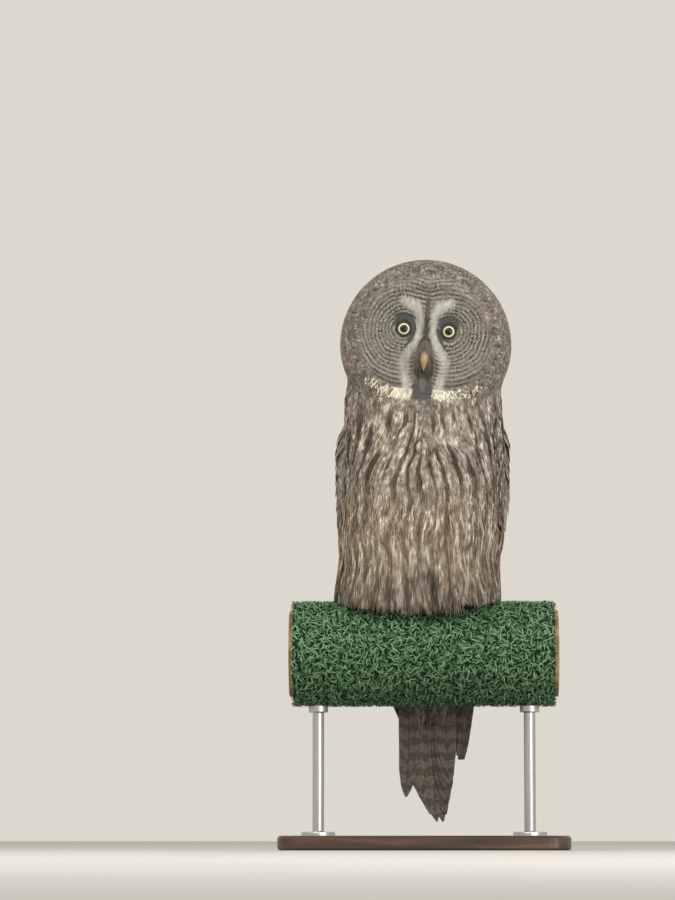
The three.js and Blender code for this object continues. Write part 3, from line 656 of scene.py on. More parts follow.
def paint_front(p, q):
    """Breast and belly: dark streaks along the flow, between pale mottling, with painted shade under the
    chin, in a gap low in the middle, low down over the feet and under the sides of the head.
    """
    x, z = p[..., 0], p[..., 2]
    low = fade(z, 355, 425)
    across = FLOW_WIDTH * q + 5 * noise(stack(FLOW_WIDTH * q, z, 0), 38, 16) + 1.8 * noise(p, 12, 17)
    line = stack(across, 0.16 * z, 0)
    broken = noise(stack(across, 0.32 * z, 0), 9, 18)
    streak = smooth(np.cos(2 * np.pi * across / 15.5) + 0.9 * broken + 0.3 * noise(line, 2.7, 8), 0.2, 0.95)
    streak = streak * (1 - 0.65 * smooth(z, 472, 492))
    fleck = noise(p * [1, 1, 0.7], 2.5, 9) + 0.5 * noise(p * [1, 1, 0.5], 7, 10)
    hair = noise(line * [1, 1.8, 1], 1.9, 11) + 0.35 * noise(p, 5, 12)
    value = 0.56 + 0.42 * mix(fleck, hair, low)
    upper = three(("streak", "breast", "pale"), value)
    lower = three(("belly_dark", "buff", "pale"), value)
    color = tinted(upper, lower, low)
    color = tinted(color, tinted(INK["streak"], INK["belly_dark"], low), streak * mix(0.92, 0.66, low))
    # Painted shadow under the chin, in the chin's dark colour
    chin_shadow = hump(x, 2, 15) * smooth(z, 455, 490)
    color = tinted(color, INK["chin"], 0.55 * chin_shadow)
    # Painted shade in a slanting gap low in the middle of the plumes
    gap_shade = hump(x - 10 + 0.1 * (z - 290), 0, 8) * fade(z, 290, 335)
    # Painted shade: the lowest plumes, hanging over the feet, are darkened
    foot = 0.5 * fade(z, 262, 322)
    # The collar here is painted shade: the sides of the neck are darkened under the overhang of the head
    collar = 0.16 * hump(z, 505, 24) * smooth(np.abs(x), 20, 60)
    return color * (1 - np.maximum(np.maximum(0.85 * gap_shade, foot), collar))[..., None]


def body_angle(p):
    """The angle of places round the body."""
    x, half, y, depth = body_section(np.clip(p[..., 2], 330, 560))
    angle = np.arctan2((p[..., 1] - y) / depth, (p[..., 0] - x) / half)
    return np.where(angle > np.pi / 2, angle - 2 * np.pi, angle)


def paint_body(p):
    front = paint_front(p, flow_place(p[..., 2], body_angle(p)))
    value = 0.5 + 0.45 * noise(p * [1, 1, 0.5], 4.4, 7) + 0.3 * noise(p * [1, 1, 0.6], 15, 8)
    back = three(BACK, value)
    return tinted(front, back, smooth(p[..., 1], 0, 35))


def paint(p):
    """The markings at places on head and body, with the shade painted into them."""
    h = to_head(p)
    on_face = smooth(-h[..., 1], 4, 12) * fade(disc_share(h), 1.04, 1.1)
    head = tinted(paint_crown(p), paint_face(h), on_face)
    on_head = smooth(body_gap(p) - head_gap(p), -1, 3) * fade(-h[..., 2], 66, 74)
    return tinted(paint_body(p), head, on_head)


# The skin: one form under the whole coat
def head_rings():
    h = sphere(np.radians(np.linspace(0.5, 179.5, 80))[:, None], full_turn(4))
    h = h * (ball_reach(h) - SKIN_DEPTH)[..., None]
    h[..., 1] += face_relief(h)
    return from_head(h)


def body_rings():
    return body_point(np.linspace(305, 563, 60)[:, None], full_turn(4), -SKIN_DEPTH)


def wing_angle(side, angle):
    return angle if side > 0 else np.pi - angle


def wing_rings(side):
    z = np.linspace(352, 494, 40)[:, None]
    share = np.linspace(0, 1, 30)[None]
    angle = np.radians(mix(column(WING_FRONT, z, 1) + 5, WING_BACK, share))
    out = 4.5 * np.minimum(1, 6 * np.minimum(share, 1 - share)) * (1 - 0.8 * smooth(z, 460, 494))
    outer = wrap_point(z, wing_angle(side, angle), out)
    inner = wrap_point(z, wing_angle(side, angle), -6.0)
    return np.concatenate([outer, inner[:, ::-1]], 1)


def tail_rings():
    z = np.linspace(150, 326, 30)[:, None]
    half, front, back = (column(TAIL_FLESH, z, k) for k in (1, 2, 3))
    return section(TAIL["x"], half, (front + back) / 2, (back - front) / 2, full_turn(15), 2.6, z)


def on_turf(x, degrees, above):
    r = TURF["radius"] + above
    turn = math.radians(degrees)
    return np.array([x, -r * math.sin(turn), POLE["z"] + r * math.cos(turn)])


def toe_path(x, side, toe):
    splay, start, end = toe
    shares = (0, 0.25, 0.5, 0.75, 1)
    return [on_turf(x + side * splay * s, mix(start, end, s), mix(*TOE_RADII, s) + 0.35) for s in shares]


def leg_rings(x):
    z = np.linspace(LEG["foot"] - 4, 340, 16)[:, None]
    radius = np.interp(z, *zip(*LEG_FLESH))
    return section(x, radius, LEG["y"], radius * 1.15, full_turn(15), 2, z)


def pad_rings(x):
    """The pad of a foot, a flat ball."""
    polar, around = np.radians(np.linspace(4, 176, 16))[:, None], full_turn(15)
    across, along = 13 * np.sin(polar) * np.cos(around), 15 * np.sin(polar) * np.sin(around)
    return stack(across, along, 9 * np.cos(polar)) + [x, LEG["y"] + 3, POLE["z"] + TURF["radius"] + 10.5]


def build_skin():
    shells = [head_rings(), body_rings(), wing_rings(1), wing_rings(-1), tail_rings()]
    for x, (_, side) in zip(LEG["x"], SIDES):
        shells += [leg_rings(x), pad_rings(x)]
        shells += [tube_rings(toe_path(x, side, toe), TOE_RADII, 14, 12, grow=-1.3) for toe in TOES]
    points, faces, start = [], [], 0
    for rings in shells:
        mesh = ring_mesh("shell", rings)
        points.append(rings.reshape(-1, 3))
        faces += [[i + start for i in face.vertices] for face in mesh.polygons]
        start += len(points[-1])
        bpy.data.meshes.remove(mesh)
    mesh = bpy.data.meshes.new("shells")
    mesh.from_pydata((np.concatenate(points) * MM).tolist(), [], faces)
    rough = placed("shells", mesh)
    remesh = rough.modifiers.new("one", "REMESH")
    remesh.mode = "VOXEL"
    remesh.voxel_size = SKIN_VOXEL * MM
    ease = rough.modifiers.new("ease", "SMOOTH")
    ease.factor = 0.5
    ease.iterations = 5
    made = bpy.data.meshes.new_from_object(rough.evaluated_get(bpy.context.evaluated_depsgraph_get()))
    bpy.data.objects.remove(rough)
    made.name = "owl_skin"
    return made


skin = build_skin()
spots = np.empty(len(skin.vertices) * 3, np.float32)
skin.vertices.foreach_get("co", spots)
spots = spots.reshape(-1, 3).astype(float) / MM
skin.calc_loop_triangles()
corners = np.empty(len(skin.loop_triangles) * 3, np.int32)
skin.loop_triangles.foreach_get("vertices", corners)
FACES = spots[corners.reshape(-1, 3)]
MIDDLES = FACES.mean(1)
CROSSES = np.cross(FACES[:, 1] - FACES[:, 0], FACES[:, 2] - FACES[:, 0])
set_tint(skin, paint(spots))
FLESH_NODES = (
    "head", "neck", "torso", "left_wing", "right_wing", "tail",
    "left_leg", "right_leg", "left_foot", "right_foot",
)
finish_object("owl_skin", skin, FEATHER, "body_plumage", *FLESH_NODES)


def scatter(spacing, keep):
    """Places spread evenly over the skin where keep holds, and the skin's directions there."""
    chosen = np.flatnonzero(keep(MIDDLES))
    area = np.linalg.norm(CROSSES[chosen], axis=1) / 2
    count = int(area.sum() / spacing**2 * 5)
    picked = chosen[rng.choice(len(chosen), count, p=area / area.sum())]
    a, b = rng.random((2, count, 1))
    a, b = np.where(a + b > 1, 1 - a, a), np.where(a + b > 1, 1 - b, b)
    corner = FACES[picked]
    p = corner[:, 0] + a * (corner[:, 1] - corner[:, 0]) + b * (corner[:, 2] - corner[:, 0])
    cell = np.floor(p / spacing).astype(np.int64) + 4096
    _, first = np.unique((cell[:, 0] * 8192 + cell[:, 1]) * 8192 + cell[:, 2], return_index=True)
    return p[first], unit(CROSSES[picked[first]])


def chart(p, down):
    """Places on the skin's map, unrolled round the upright axis."""
    return stack(np.arctan2(p[..., 0], -p[..., 1]) / (2 * np.pi) + 0.5, down)


def round_chart(p):
    return chart(p, (p[..., 2] - 20) / 660)


def head_chart(p):
    h = unit(to_head(p))
    return chart(h, np.arccos(h[..., 2]) / np.pi)


# Laying feathers
def ribbons(middle, ups, half, shape, columns, roll, crown=0.0):
    """Points of blades along middle lines (blade, row), with their outward directions."""
    side = unit(np.cross(unit(np.gradient(middle, axis=1)), ups))
    turn = rng.uniform(-roll, roll, (len(middle), 1, 1))
    side = side * np.cos(turn) + ups * np.sin(turn)
    u = np.linspace(-1, 1, columns)[None, None, :, None]
    half = np.reshape(half, (-1, 1, 1, 1)) * np.reshape(shape, (1, -1, 1, 1))
    return middle[:, :, None] + side[:, :, None] * u * half + ups[:, :, None] * crown * (1 - u * u)


def blades(root, lie, length, width, outs, shape, roll, columns=2, crown=0.0, normal=None, bridge=False):
    """Points of blades that follow the flesh from their roots, or run straight if they have their normals."""
    up = facing(root) if normal is None else normal
    ahead = unit(lie - (lie * up).sum(-1, keepdims=True) * up)
    share = np.linspace(0, 1, len(shape))[None, :, None]
    outs = np.broadcast_to(outs, (len(root), len(shape)))
    middle = root[:, None] + ahead[:, None] * np.reshape(length, (-1, 1, 1)) * share
    if normal is None:
        middle, ups = settle(middle, outs)
    else:
        ups = np.broadcast_to(up[:, None], middle.shape)
        middle = middle + ups * outs[..., None]
    if bridge:
        chord = mix(middle[:, :1], middle[:, -1:], share)
        middle, ups = settle(chord, np.maximum(outs, flesh(chord)))
    return ribbons(middle, ups, np.asarray(width) / 2, shape, columns, roll, crown)


def sheet_blades(sheet, z, across, out, half, shape, columns, lean, crown=0.0):
    """Points of blades on a sheet, whose middle lines are given as (blade, row)."""
    z, across, out = np.broadcast_arrays(z, across, out)
    step = 0.02
    scale = np.linalg.norm(sheet(z, across + step, out) - sheet(z, across - step, out), axis=-1) / (2 * step)
    u = np.linspace(-1, 1, columns)
    width = (np.reshape(half, (-1, 1)) * shape)[..., None]
    rise = crown * (1 - u * u) - np.reshape(lean, (-1, 1, 1)) * u
    rise = rise * np.broadcast_to(shape, z.shape)[..., None]
    z = np.broadcast_to(z[..., None], (*z.shape, columns))
    return sheet(z, across[..., None] + u * width / scale[..., None], out[..., None] + rise)


def varied(colors, amount):
    """Colours with each blade a little lighter or darker."""
    return colors * (1 + amount * rng.standard_normal((len(colors), 1, 1, 1)))


def add_coat(name, points, colors, charts, material=FEATHER, slot="body_plumage", **options):
    finish_object(name, grid_mesh(name, points, colors, charts, **options), material, slot)


def head_coat(name, root, lie, length, width, outs, shape, seen, row_shade, vary, material=FACE, **options):
    """A coat of the head. A function gives the colours seen from the blades' points, and the row factors
    paint shade at their roots.
    """
    points = blades(root, lie @ HEAD_TURN.T, length, width, outs, shape, **options)
    # Painted shade: the blades are darker at their roots
    colors = varied(seen(points) * shade_by_row(*row_shade), vary)
    add_coat(name, points, colors, head_chart(root), material, "head_plumage")


def each(items, low, high):
    """A random number for each item."""
    return rng.uniform(low, high, len(items))


def jitter(root, amount):
    """A random step for each root."""
    return amount * rng.standard_normal(root.shape)


def head_parts(p):
    h = to_head(p)
    side = np.abs(h[..., 0])
    return h, disc_share(h), side, np.hypot(side - EYE["x"], h[..., 2] - EYE["z"])


def on_head(p):
    return (head_gap(p) < body_gap(p)) & (p[:, 2] > 470) & (np.abs(flesh(p) + SKIN_DEPTH) < 2)


def on_disc(p):
    h, share, side, from_eye = head_parts(p)
    bill = (side < 5) & (h[:, 2] < -9) & (h[:, 2] > -31)
    return on_head(p) & (h[:, 1] < -15) & (share < 1.06) & (from_eye > 8.8) & ~bill


def disc_feathers():
    """The fine short feathers of the facial disc, which lie away from the eyes and the bill."""
    root, _ = scatter(0.95, on_disc)
    h, _, side, from_eye = head_parts(root)
    eye_ray = unit(stack(np.sign(h[:, 0]) * (side - EYE["x"]), 0, h[:, 2] - EYE["z"]))
    bill_ray = unit(stack(h[:, 0] * 1.5, 0, h[:, 2] + 12))
    lie = unit(tinted(bill_ray, eye_ray, smooth(side, 7, 19))) + jitter(root, 0.1)
    length = mix(3.8, 5.8, smooth(from_eye, 10, 45)) * each(root, 0.85, 1.15)
    lift = 2.4 * fade(from_eye, 9, 15)
    outs = stack(lift - 2.2, lift + 0.3, 0.5 * lift + 0.8, 0.9 + each(root, 0, 0.7))

    def seen(points):
        return paint_face(to_head(mix(points[:, 2], points[:, 3], 0.65).mean(1)))[:, None, None]

    head_coat("disc_feathers", root, lie, length, each(root, 0.9, 1.5), outs, (0.8, 1, 0.9, 0.15), seen,
              (0.55, 0.8, 1.0, 1.06), 0.05, roll=0.25)


def crown_feathers(name, spacing, front, back_edge, wide):
    """Crown, cheeks and nape: short round feathers that lie back and down, in front of or behind an edge."""
    def keep(p):
        h, share, _, _ = head_parts(p)
        return on_head(p) & ((h[:, 1] > -8) | (share > 0.99)) & (h[:, 1] >= front) & (h[:, 1] < back_edge)

    root, _ = scatter(spacing, keep)
    h = to_head(root)
    y = h[:, 1]
    ray = unit(h * [1, 0, 1]) * fade(y, -30, 30)[:, None]
    lie = ray + stack(0, fade(y, 25, 65), 0) + stack(0, 0, -smooth(y, -20, 60)) + jitter(root, 0.1)
    length = mix(5.5, 12, smooth(y, -40, 40)) * each(root, 0.85, 1.15)
    tip = each(root, 0.8, 2.0) * mix(0.3, 1, smooth(np.abs(y + 8), 18, 55))
    outs = stack(-2.0, 1.1 + 0.4 * tip, 0.9 + 0.95 * tip, 0.5 * tip + 0.7)

    def seen(points):
        return paint_crown(mix(points[:, 2], points[:, 3], 0.5).mean(1))[:, None, None]

    head_coat(name, root, lie, length, wide * each(root, 0.8, 1.25), outs, (0.7, 1, 0.9, 0.2), seen,
              (0.7, 0.88, 1, 1.06), 0.1, roll=0.3)


def ruff_feathers():
    """The dense short feathers of the disc's edge, and the pale moustache under it."""
    def keep(p):
        h, share, _, _ = head_parts(p)
        return on_head(p) & (h[:, 1] < -8) & (share > 0.9) & (share < 1.12)

    root, _ = scatter(1.3, keep)
    h, share, _, _ = head_parts(root)
    low = smooth(-h[:, 2], 35, 55)
    lie = unit(h * [1, 0, 1]) + stack(0, 0.4 - 0.5 * low, -0.4 * low) + jitter(root, 0.14)
    length = mix(6, 12, low) * each(root, 0.7, 1.25)
    tip = each(root, 0.8, 1.8) * mix(1, 0.3, smooth(share, 0.96, 1.04) * (1 - low)) + 1.4 * low
    outs = stack(-2.2, 0.6 * tip, tip)

    def seen(points):
        along = mix(0.8, 0.25, low)[:, None, None]
        return paint(mix(points[:, 0], points[:, 2], along).mean(1))[:, None, None]

    head_coat("ruff_feathers", root, lie, length, each(root, 1.1, 1.8), outs, (0.8, 1, 0.15), seen,
              (0.6, 0.95, 1.08), 0.08, roll=0.4, bridge=True)


def moustache():
    """Loose white tufts that hang from the two sides of the chin."""
    def keep(p):
        h, _, side, _ = head_parts(p)
        ragged = near_line(side, h[:, 2], MOUSTACHE) + 0.35 * noise(p, 3, 23)
        return on_head(p) & (side > 13.5) & (h[:, 1] < -20) & (ragged < 0.95)

    root, _ = scatter(1.15, keep)
    h, _, side, _ = head_parts(root)
    lie = stack(np.sign(h[:, 0]) * (0.1 + side / 130), -0.2, -1) + jitter(root, 0.22)
    length = mix(11, 5, smooth(side, 15, 55)) * each(root, 0.6, 1.2)
    tip = each(root, 2.2, 4.2)
    outs = stack(-2, 0.7 * tip, 0.9 * tip, tip)

    def seen(points):
        whiteness = mix(1, 0.4, smooth(side, 18, 46)) * smooth(0.37 * side - h[:, 2], 52, 68)
        white = rng.random(len(points)) < whiteness
        other = tinted(INK["lore"] * 0.8, paint_crown(root), smooth(side, 20, 28))
        return np.where(white[:, None], INK["moustache"], other)[:, None, None]

    head_coat("moustache_tufts", root, lie, length, each(root, 0.9, 1.6), outs, (0.8, 1, 0.85, 0.15), seen,
              (0.65, 0.92, 1, 1.03), 0.06, roll=0.5, bridge=True)


def hackles():
    """Longer feathers round the bottom of the head, which hang over the neck."""
    def keep(p):
        h, share, _, _ = head_parts(p)
        return on_head(p) & (((h[:, 1] > 0) & (h[:, 2] < 8)) | ((share > 1.0) & (h[:, 2] < -30)))

    root, _ = scatter(2.1, keep)
    h = to_head(root)
    behind = smooth(h[:, 1], -40, 40)
    lie = 0.15 * unit(h * [1, 1, 0]) + [0, 0, -1.0] + jitter(root, 0.09)
    length = mix(17, 31, behind) * each(root, 0.65, 1.2)
    loose = np.maximum(smooth(h[:, 1], 12, 45), smooth(-h[:, 2], 26, 44))
    tip = each(root, 1.2, 2.8) * mix(0.35, 1.15, loose) + 2.5 * smooth(h[:, 1], 20, 65)
    outs = stack(-2.4, 0.7 + 0.2 * tip, 0.6 * tip + 0.6, 0.9 * tip + 0.4, tip)
    width = mix(1.8, 3.4, behind) * each(root, 0.8, 1.2)
    head_coat("neck_feathers", root, lie, length, width, outs, (0.7, 1, 1, 0.85, 0.15), paint,
              (0.8, 0.9, 1, 1.05, 1.1), 0.1, FEATHER, roll=0.35, columns=3, crown=0.25, bridge=True)


def bristles():
    """Stiff hairs that lie forward and down over the base and the sides of the bill."""
    count = 3000
    over = np.arange(count) % 4 == 0
    z = np.where(over, rng.uniform(-9, 3, count), rng.uniform(-34, -2, count))
    wide = 5.5 + 5.5 * smooth(-z, 0, 24)
    x = rng.uniform(-9, 9, count)
    x = np.where(over, x, rng.choice((-1, 1), count) * (5 + (wide - 5) * rng.random(count) ** 0.7))
    near = np.sign(x) * (2.2 + rng.uniform(0, 1, count) ** 1.3 * (np.abs(x) - 3.0))
    near = np.where(over, x, near)
    knots = [0, 0.35, 0.7, 1, 1.4]
    steps = np.array(knots[:4])[:, None] * rng.uniform(0.55, 1.1, count)
    steps = steps * np.where(over, 0.82 + 0.055 * np.abs(x), 1)
    top_y = np.interp(steps, knots, [-73, -82.5, -90, -93, -93.5]) + 0.08 * x**2 * steps
    top_z = np.interp(steps, knots, [-0.5, -1.5, -6, -13, -21]) + z * (1 - 0.7 * steps)
    ahead = np.interp(steps, knots, [0, 11, 18, 21, 21]) * (1 - 0.6 * smooth(-z, 4, 34))
    side_y = -67 - ahead + 0.6 * (np.abs(x) - 6) * steps
    side_z = z - mix(15, 9, smooth(-z, 4, 34)) * steps**1.3
    x = np.where(over, 0.45 * x, x)
    path = stack(mix(x, near, steps), np.where(over, top_y, side_y), np.where(over, top_z, side_z))
    path = path + 0.9 * rng.standard_normal((1, count, 3)) * steps[..., None]
    middle = curve_points(path.reshape(4, -1), 6).reshape(6, count, 3).swapaxes(0, 1)
    ups = unit(middle * [1, 0, 0] + [0, 0, 0.3] + (middle * [0, 1, 0] + [0, 74, 0]) * 0.6) @ HEAD_TURN.T
    half = rng.uniform(0.2, 0.42, count)
    points = ribbons(from_head(middle), ups, half, (1, 1, 0.9, 0.7, 0.45, 0.1), 2, 0.6)
    brown = np.where(over, 0.3, 0.3 * fade(-z, 2, 14))
    tint = tinted(INK["bristle"], INK["cere"], brown)[:, None, None]
    # Painted shade at the hairs' roots, lighter to their tips
    colors = varied(tint * shade_by_row(0.55, 0.8, 0.95, 1.05, 1.12, 1.15), 0.22)
    add_coat("bill_bristles", points, colors, head_chart(from_head(middle[:, 0])), FACE, "head_plumage")


# The front's plumage: each feather is a bundle of loose barbs along the flow
# Lowest and highest roots, spacing, length, half width, number and half thickness of barbs, rise of the tips
PLUMES = {
    "breast_plumes_1": (448, 520, 5, 20, 4, 12, 1.15, 2.6),
    "breast_plumes_2": (376, 448, 5, 22, 4.2, 12, 1.15, 2.9),
    "belly_plumes_1": (318, 380, 6, 44, 5.2, 14, 1, 3.6),
    "belly_plumes_2": (285, 345, 6, 40, 5.2, 14, 1, 3.2),
}


def skirt_bottom(x):
    """Height of the plumes' lower edge in front of the perch, at distances across."""
    return np.interp(x, (-95, -48, -26, 7, 29, 50, 73, 82), (272, 264, 260, 258, 261, 268, 274, 277))


def lattice(rows, columns, loose):
    """Loose places in the cells of a grid."""
    grid = np.stack(np.meshgrid(np.arange(rows), np.arange(columns), indexing="ij"), -1).reshape(-1, 2)
    return grid + rng.uniform(-loose, loose, grid.shape) + 0.5


def front_plumes(name, low, high, spacing, length, half, barbs, thick, rise):
    columns = int(330 / spacing)
    place = lattice(int((high - low) / spacing), columns, 0.45)
    z, s = low + place[:, 0] * spacing, (place[:, 1] / columns * 2 - 1) * 1.24
    bare = np.abs(s) < 1 + (column(WING_FRONT, np.clip(z, 75, 500), 1) + 14) / 90
    bare = bare | (z > 488)
    z, q = z[bare], (np.sign(s) * np.abs(s) ** (1 / flow_power(z)))[bare]
    feather = np.repeat(np.arange(len(z)), barbs)
    count = len(feather)
    u = np.tile(np.linspace(-1, 1, barbs), len(z)) + rng.normal(0, 0.6 / barbs, count)
    reach = (length * each(z, 0.82, 1.15))[feather] * (1 - 0.25 * u * u) * each(u, 0.85, 1.08)
    share = np.linspace(0, 1, 7)[None]
    bottom = skirt_bottom(88 * np.sin(np.pi / 2 * q))[feather]
    bottom = np.maximum(bottom, 277 - 60 * np.clip(1 - np.abs(q[feather]), 0, 1))
    bottom = bottom + rng.exponential(5, count) + rng.normal(-1, 2, len(z))[feather]
    tip = np.maximum(z[feather] - reach, bottom)
    heights = mix(z[feather][:, None], tip[:, None], share)
    spread = u[:, None] * half * (0.3 + 0.7 * np.sin(np.pi / 2 * np.minimum(1, 1.3 * share)))
    phase = each(u, 0, 2 * np.pi)[:, None]
    sway = rng.normal(0, 0.08 * length, len(z))[feather][:, None] * share**2
    wavy = each(u, 0.2, 1)[:, None] * (np.sin(phase + 5 * share) - np.sin(phase)) + sway
    angle = flow_angle(heights, q[feather][:, None]) + (spread + wavy) / FRONT_RADIUS
    high_tip = (rise * each(z, 0.6, 1.3))[feather] + each(u, -0.6, 0.8) - 0.7 * u * u
    flank = smooth(np.abs(q), 0.72, 1)[feather][:, None] * fade(heights, 320, 400)
    left = 6 * hump(heights, 352, 42) + 3.5 * hump(heights, 450, 28)
    left = left * smooth(q, 0.72, 1)[feather][:, None]
    high_tip = high_tip[:, None] + flank * np.where(q < 0, 5, 1)[feather][:, None] + left
    outs = mix(-2.6, high_tip, np.minimum(1, 2 * share)) + each(u, 0, 0.5)[:, None] * share
    shape = (0.8, 1, 1, 0.95, 0.8, 0.55, 0.1)
    lean = each(u, -0.4, 0.4)
    points = sheet_blades(skirt_point, heights, angle, outs, thick * each(u, 0.35, 0.65), shape, 2, lean)
    middle = points.mean(2)
    colors = paint_front(middle, flow_place(middle[..., 2], angle))[:, :, None]
    # Painted shade at the barbs' roots, under the plumes above them
    colors = colors * shade_by_row(0.5, 0.75, 0.92, 1, 1.03, 1.06, 1.08)
    colors = colors * (1 + 0.07 * rng.standard_normal(len(z)))[feather][:, None, None, None]
    add_coat(name, points, varied(colors, 0.1), round_chart(middle[:, 0]))


# Wings. Angles are for the owl's left side, and the right wing mirrors them
def wing_sheet(side):
    """The folded wing's sheet, which lies down on the body at its front edge."""
    def place(z, angle, out):
        tuck = smooth(np.degrees(angle) - column(WING_FRONT, z, 1), -6, 14)
        return wrap_point(z, wing_angle(side, angle), out * mix(0.15, 1, tuck))

    return place


def cells(count):
    """A place and a size on the map for each of a few broad feathers."""
    across = math.ceil(math.sqrt(count))
    k = np.arange(count)
    return stack(k % across + 0.5, k // across + 0.5) / across, np.full(count, 0.9 / across)


def broad(name, sheet, lines, shape, tints, material, columns=7, lean=0.0, crown=0.4, streak=0.0):
    """Broad feathers along lines, mottled and dark along their middles, with their own places on the map."""
    z = lines[0]
    points = sheet_blades(sheet, *lines, shape, columns, lean, crown)
    charts, size = cells(len(points))
    # Painted shade: each feather is a little darker at its root, under the one above it
    colors = tints[:, None, None] * shade_by_row(*np.linspace(0.85, 1.05, points.shape[1]))
    middle = hump(np.linspace(-1, 1, columns), 0, 0.45)[None, None, :, None]
    cloud = noise(points * [1, 1, 0.6], 6, 22) + 0.7 * noise(points * [1, 1, 0.5], 19, 24)
    colors = colors * (1 - streak * middle) * np.clip(1 + 0.8 * streak * cloud, 0.5, 1.8)[..., None]
    lengths = np.broadcast_to(np.ptp(z, axis=-1), len(points))
    colors = varied(colors, 0.07)
    add_coat(name, points, colors, charts, material, "flight_plumage", patch=size, lengths=lengths)


def flight_shape(share, blunt=9):
    return np.maximum(0.1, np.minimum(1, 0.6 + 1.4 * share) * (1 - share**blunt))


def flight_feathers(side, name):
    """Primaries, whose tips cross behind the tail, and the secondaries over them."""
    left = side > 0
    share = np.linspace(0, 1, 30)
    count = 9
    u = np.linspace(0, 1, count)[:, None]
    tips = (44, 78) if left else (71, 88)
    tip_z = np.interp(u, [0, 0.25, 0.5, 0.75, 1], [102 if left else 225, 112, 90, 88, 110])
    z = mix(mix(372, 366, u), tip_z, share)
    angle = np.radians(mix(mix(8, 25, u), mix(*tips, u), share ** (1.25 if left else 1.1)))
    shape = np.repeat(flight_shape(share)[None], count, 0)
    if left:
        angle[0] = np.radians(curve_points([(8, 0), (27, 0), (37, 0), (31, 0)], 30)[:, 0])
        shape[0] = np.maximum(0.6, flight_shape(share, 60))
    out = 2.2 + 4.3 * u + 0 * share
    tint = INK["back"] * (0.9 + 0.1 * rng.standard_normal((count, 1)))
    half = mix(7, 10, u[:, 0])
    broad(f"{name}_primaries", wing_sheet(side), (z, angle, out, half), shape, tint, FLIGHT, lean=0.1)
    count = 12
    u = np.linspace(0, 1, count)[:, None]
    z = mix(mix(372, 400, u), mix(198, 262, u) + rng.uniform(-3, 3, u.shape), share)
    angle = np.radians(mix(mix(12, 66, u), mix(44, 84, u), share**1.3))
    out = mix(6.2, 8.4 + 1.2 * u, np.minimum(1, 2 * share))
    tint = INK["back"] * (1 + 0.1 * rng.standard_normal((count, 1)))
    half, shape = np.full(count, 10.5), flight_shape(share)
    broad(f"{name}_secondaries", wing_sheet(side), (z, angle, out, half), shape, tint, FLIGHT, lean=0.2)


def row_feather(top, down, loose, lengths, rise, halves):
    """Root height, length, lift and half width of a feather in a row that is a share of the way down."""
    root = top + rng.uniform(-loose, loose)
    length = mix(*lengths, down) * rng.uniform(0.8, 1.15)
    return root, length, rng.uniform(-rise, rise), mix(*halves, down) * rng.uniform(0.8, 1.1)


def coverts(side, name):
    """Rows of short feathers over the wing, from its top down."""
    share = np.linspace(0, 1, 9)
    shape = (0.6, 0.8, 0.93, 1, 1, 0.97, 0.86, 0.6, 0.12)
    lines = []
    for row, top in enumerate(np.arange(488, 372, -11.5)):
        down = row / 10
        first = column(WING_FRONT, np.array(top), 1) + 2
        count = int(math.radians(WING_BACK - first) * 84 / mix(9.5, 12, down))
        for i in range(count):
            u = (i + 0.5 * (row % 2) + rng.uniform(-0.2, 0.2)) / count
            root, length, lift, half = row_feather(top, down, 4, (24, 52), 0.35, (6.5, 9.5))
            root = root + 14 * u * down
            heights = mix(root, root - length, share)
            thin = 1 - 0.75 * smooth(heights, *SHOULDER)
            bulge = 2.2 * (side > 0) * smooth(u, 0.05, 0.2) * hump(heights, 455, 25)
            bulge = bulge + 3.5 * (side > 0) * hump(heights, 385, 35)
            out = thin * mix(7.5, COVERT_OUT - 0.1 * row, share) + bulge + lift
            angle = math.radians(mix(first, WING_BACK, u)) + math.radians(4) * share
            light = 0.35 * fade(u, 0, 0.25)
            lines.append((heights, angle, out, half, light))
    *lines, light = (np.array(values) for values in zip(*lines))
    tint = three(BACK, each(light, 0.25, 0.7) + light)
    broad(f"{name}_coverts", wing_sheet(side), lines, shape, tint, COVERT, crown=0.7, streak=0.35)


def mantle():
    """Rows of feathers down the middle of the back, between the wings."""
    share = np.linspace(0, 1, 9)
    shape = (0.6, 0.85, 0.95, 1, 1, 0.95, 0.82, 0.55, 0.1)
    lines = []
    for row, top in enumerate(np.arange(492, 344, -12)):
        down = row / 12
        count = 7 if row % 2 else 6
        for i in range(count):
            place = (2 * i / (count - 1) - 1) * mix(34, 20, down) + rng.uniform(-1.5, 1.5)
            root, length, lift, half = row_feather(top, down, 5, (30, 58), 0.3, (8, 11))
            angle = mix(math.radians(90 + place), math.radians(90 + 0.75 * place), share)
            low = mix(4, 11.5, smooth(492 - root, 0, 40))
            out = mix(low, MANTLE_OUT - 0.03 * abs(place), np.minimum(1, 1.6 * share)) + lift
            lines.append((mix(root, root - length, share), angle, out, half))
    tint = three(BACK, each(lines, 0.2, 0.7))
    lines = [np.array(values) for values in zip(*lines)]
    broad("mantle_feathers", wrap_point, lines, shape, tint, COVERT, crown=0.6, streak=0.35)


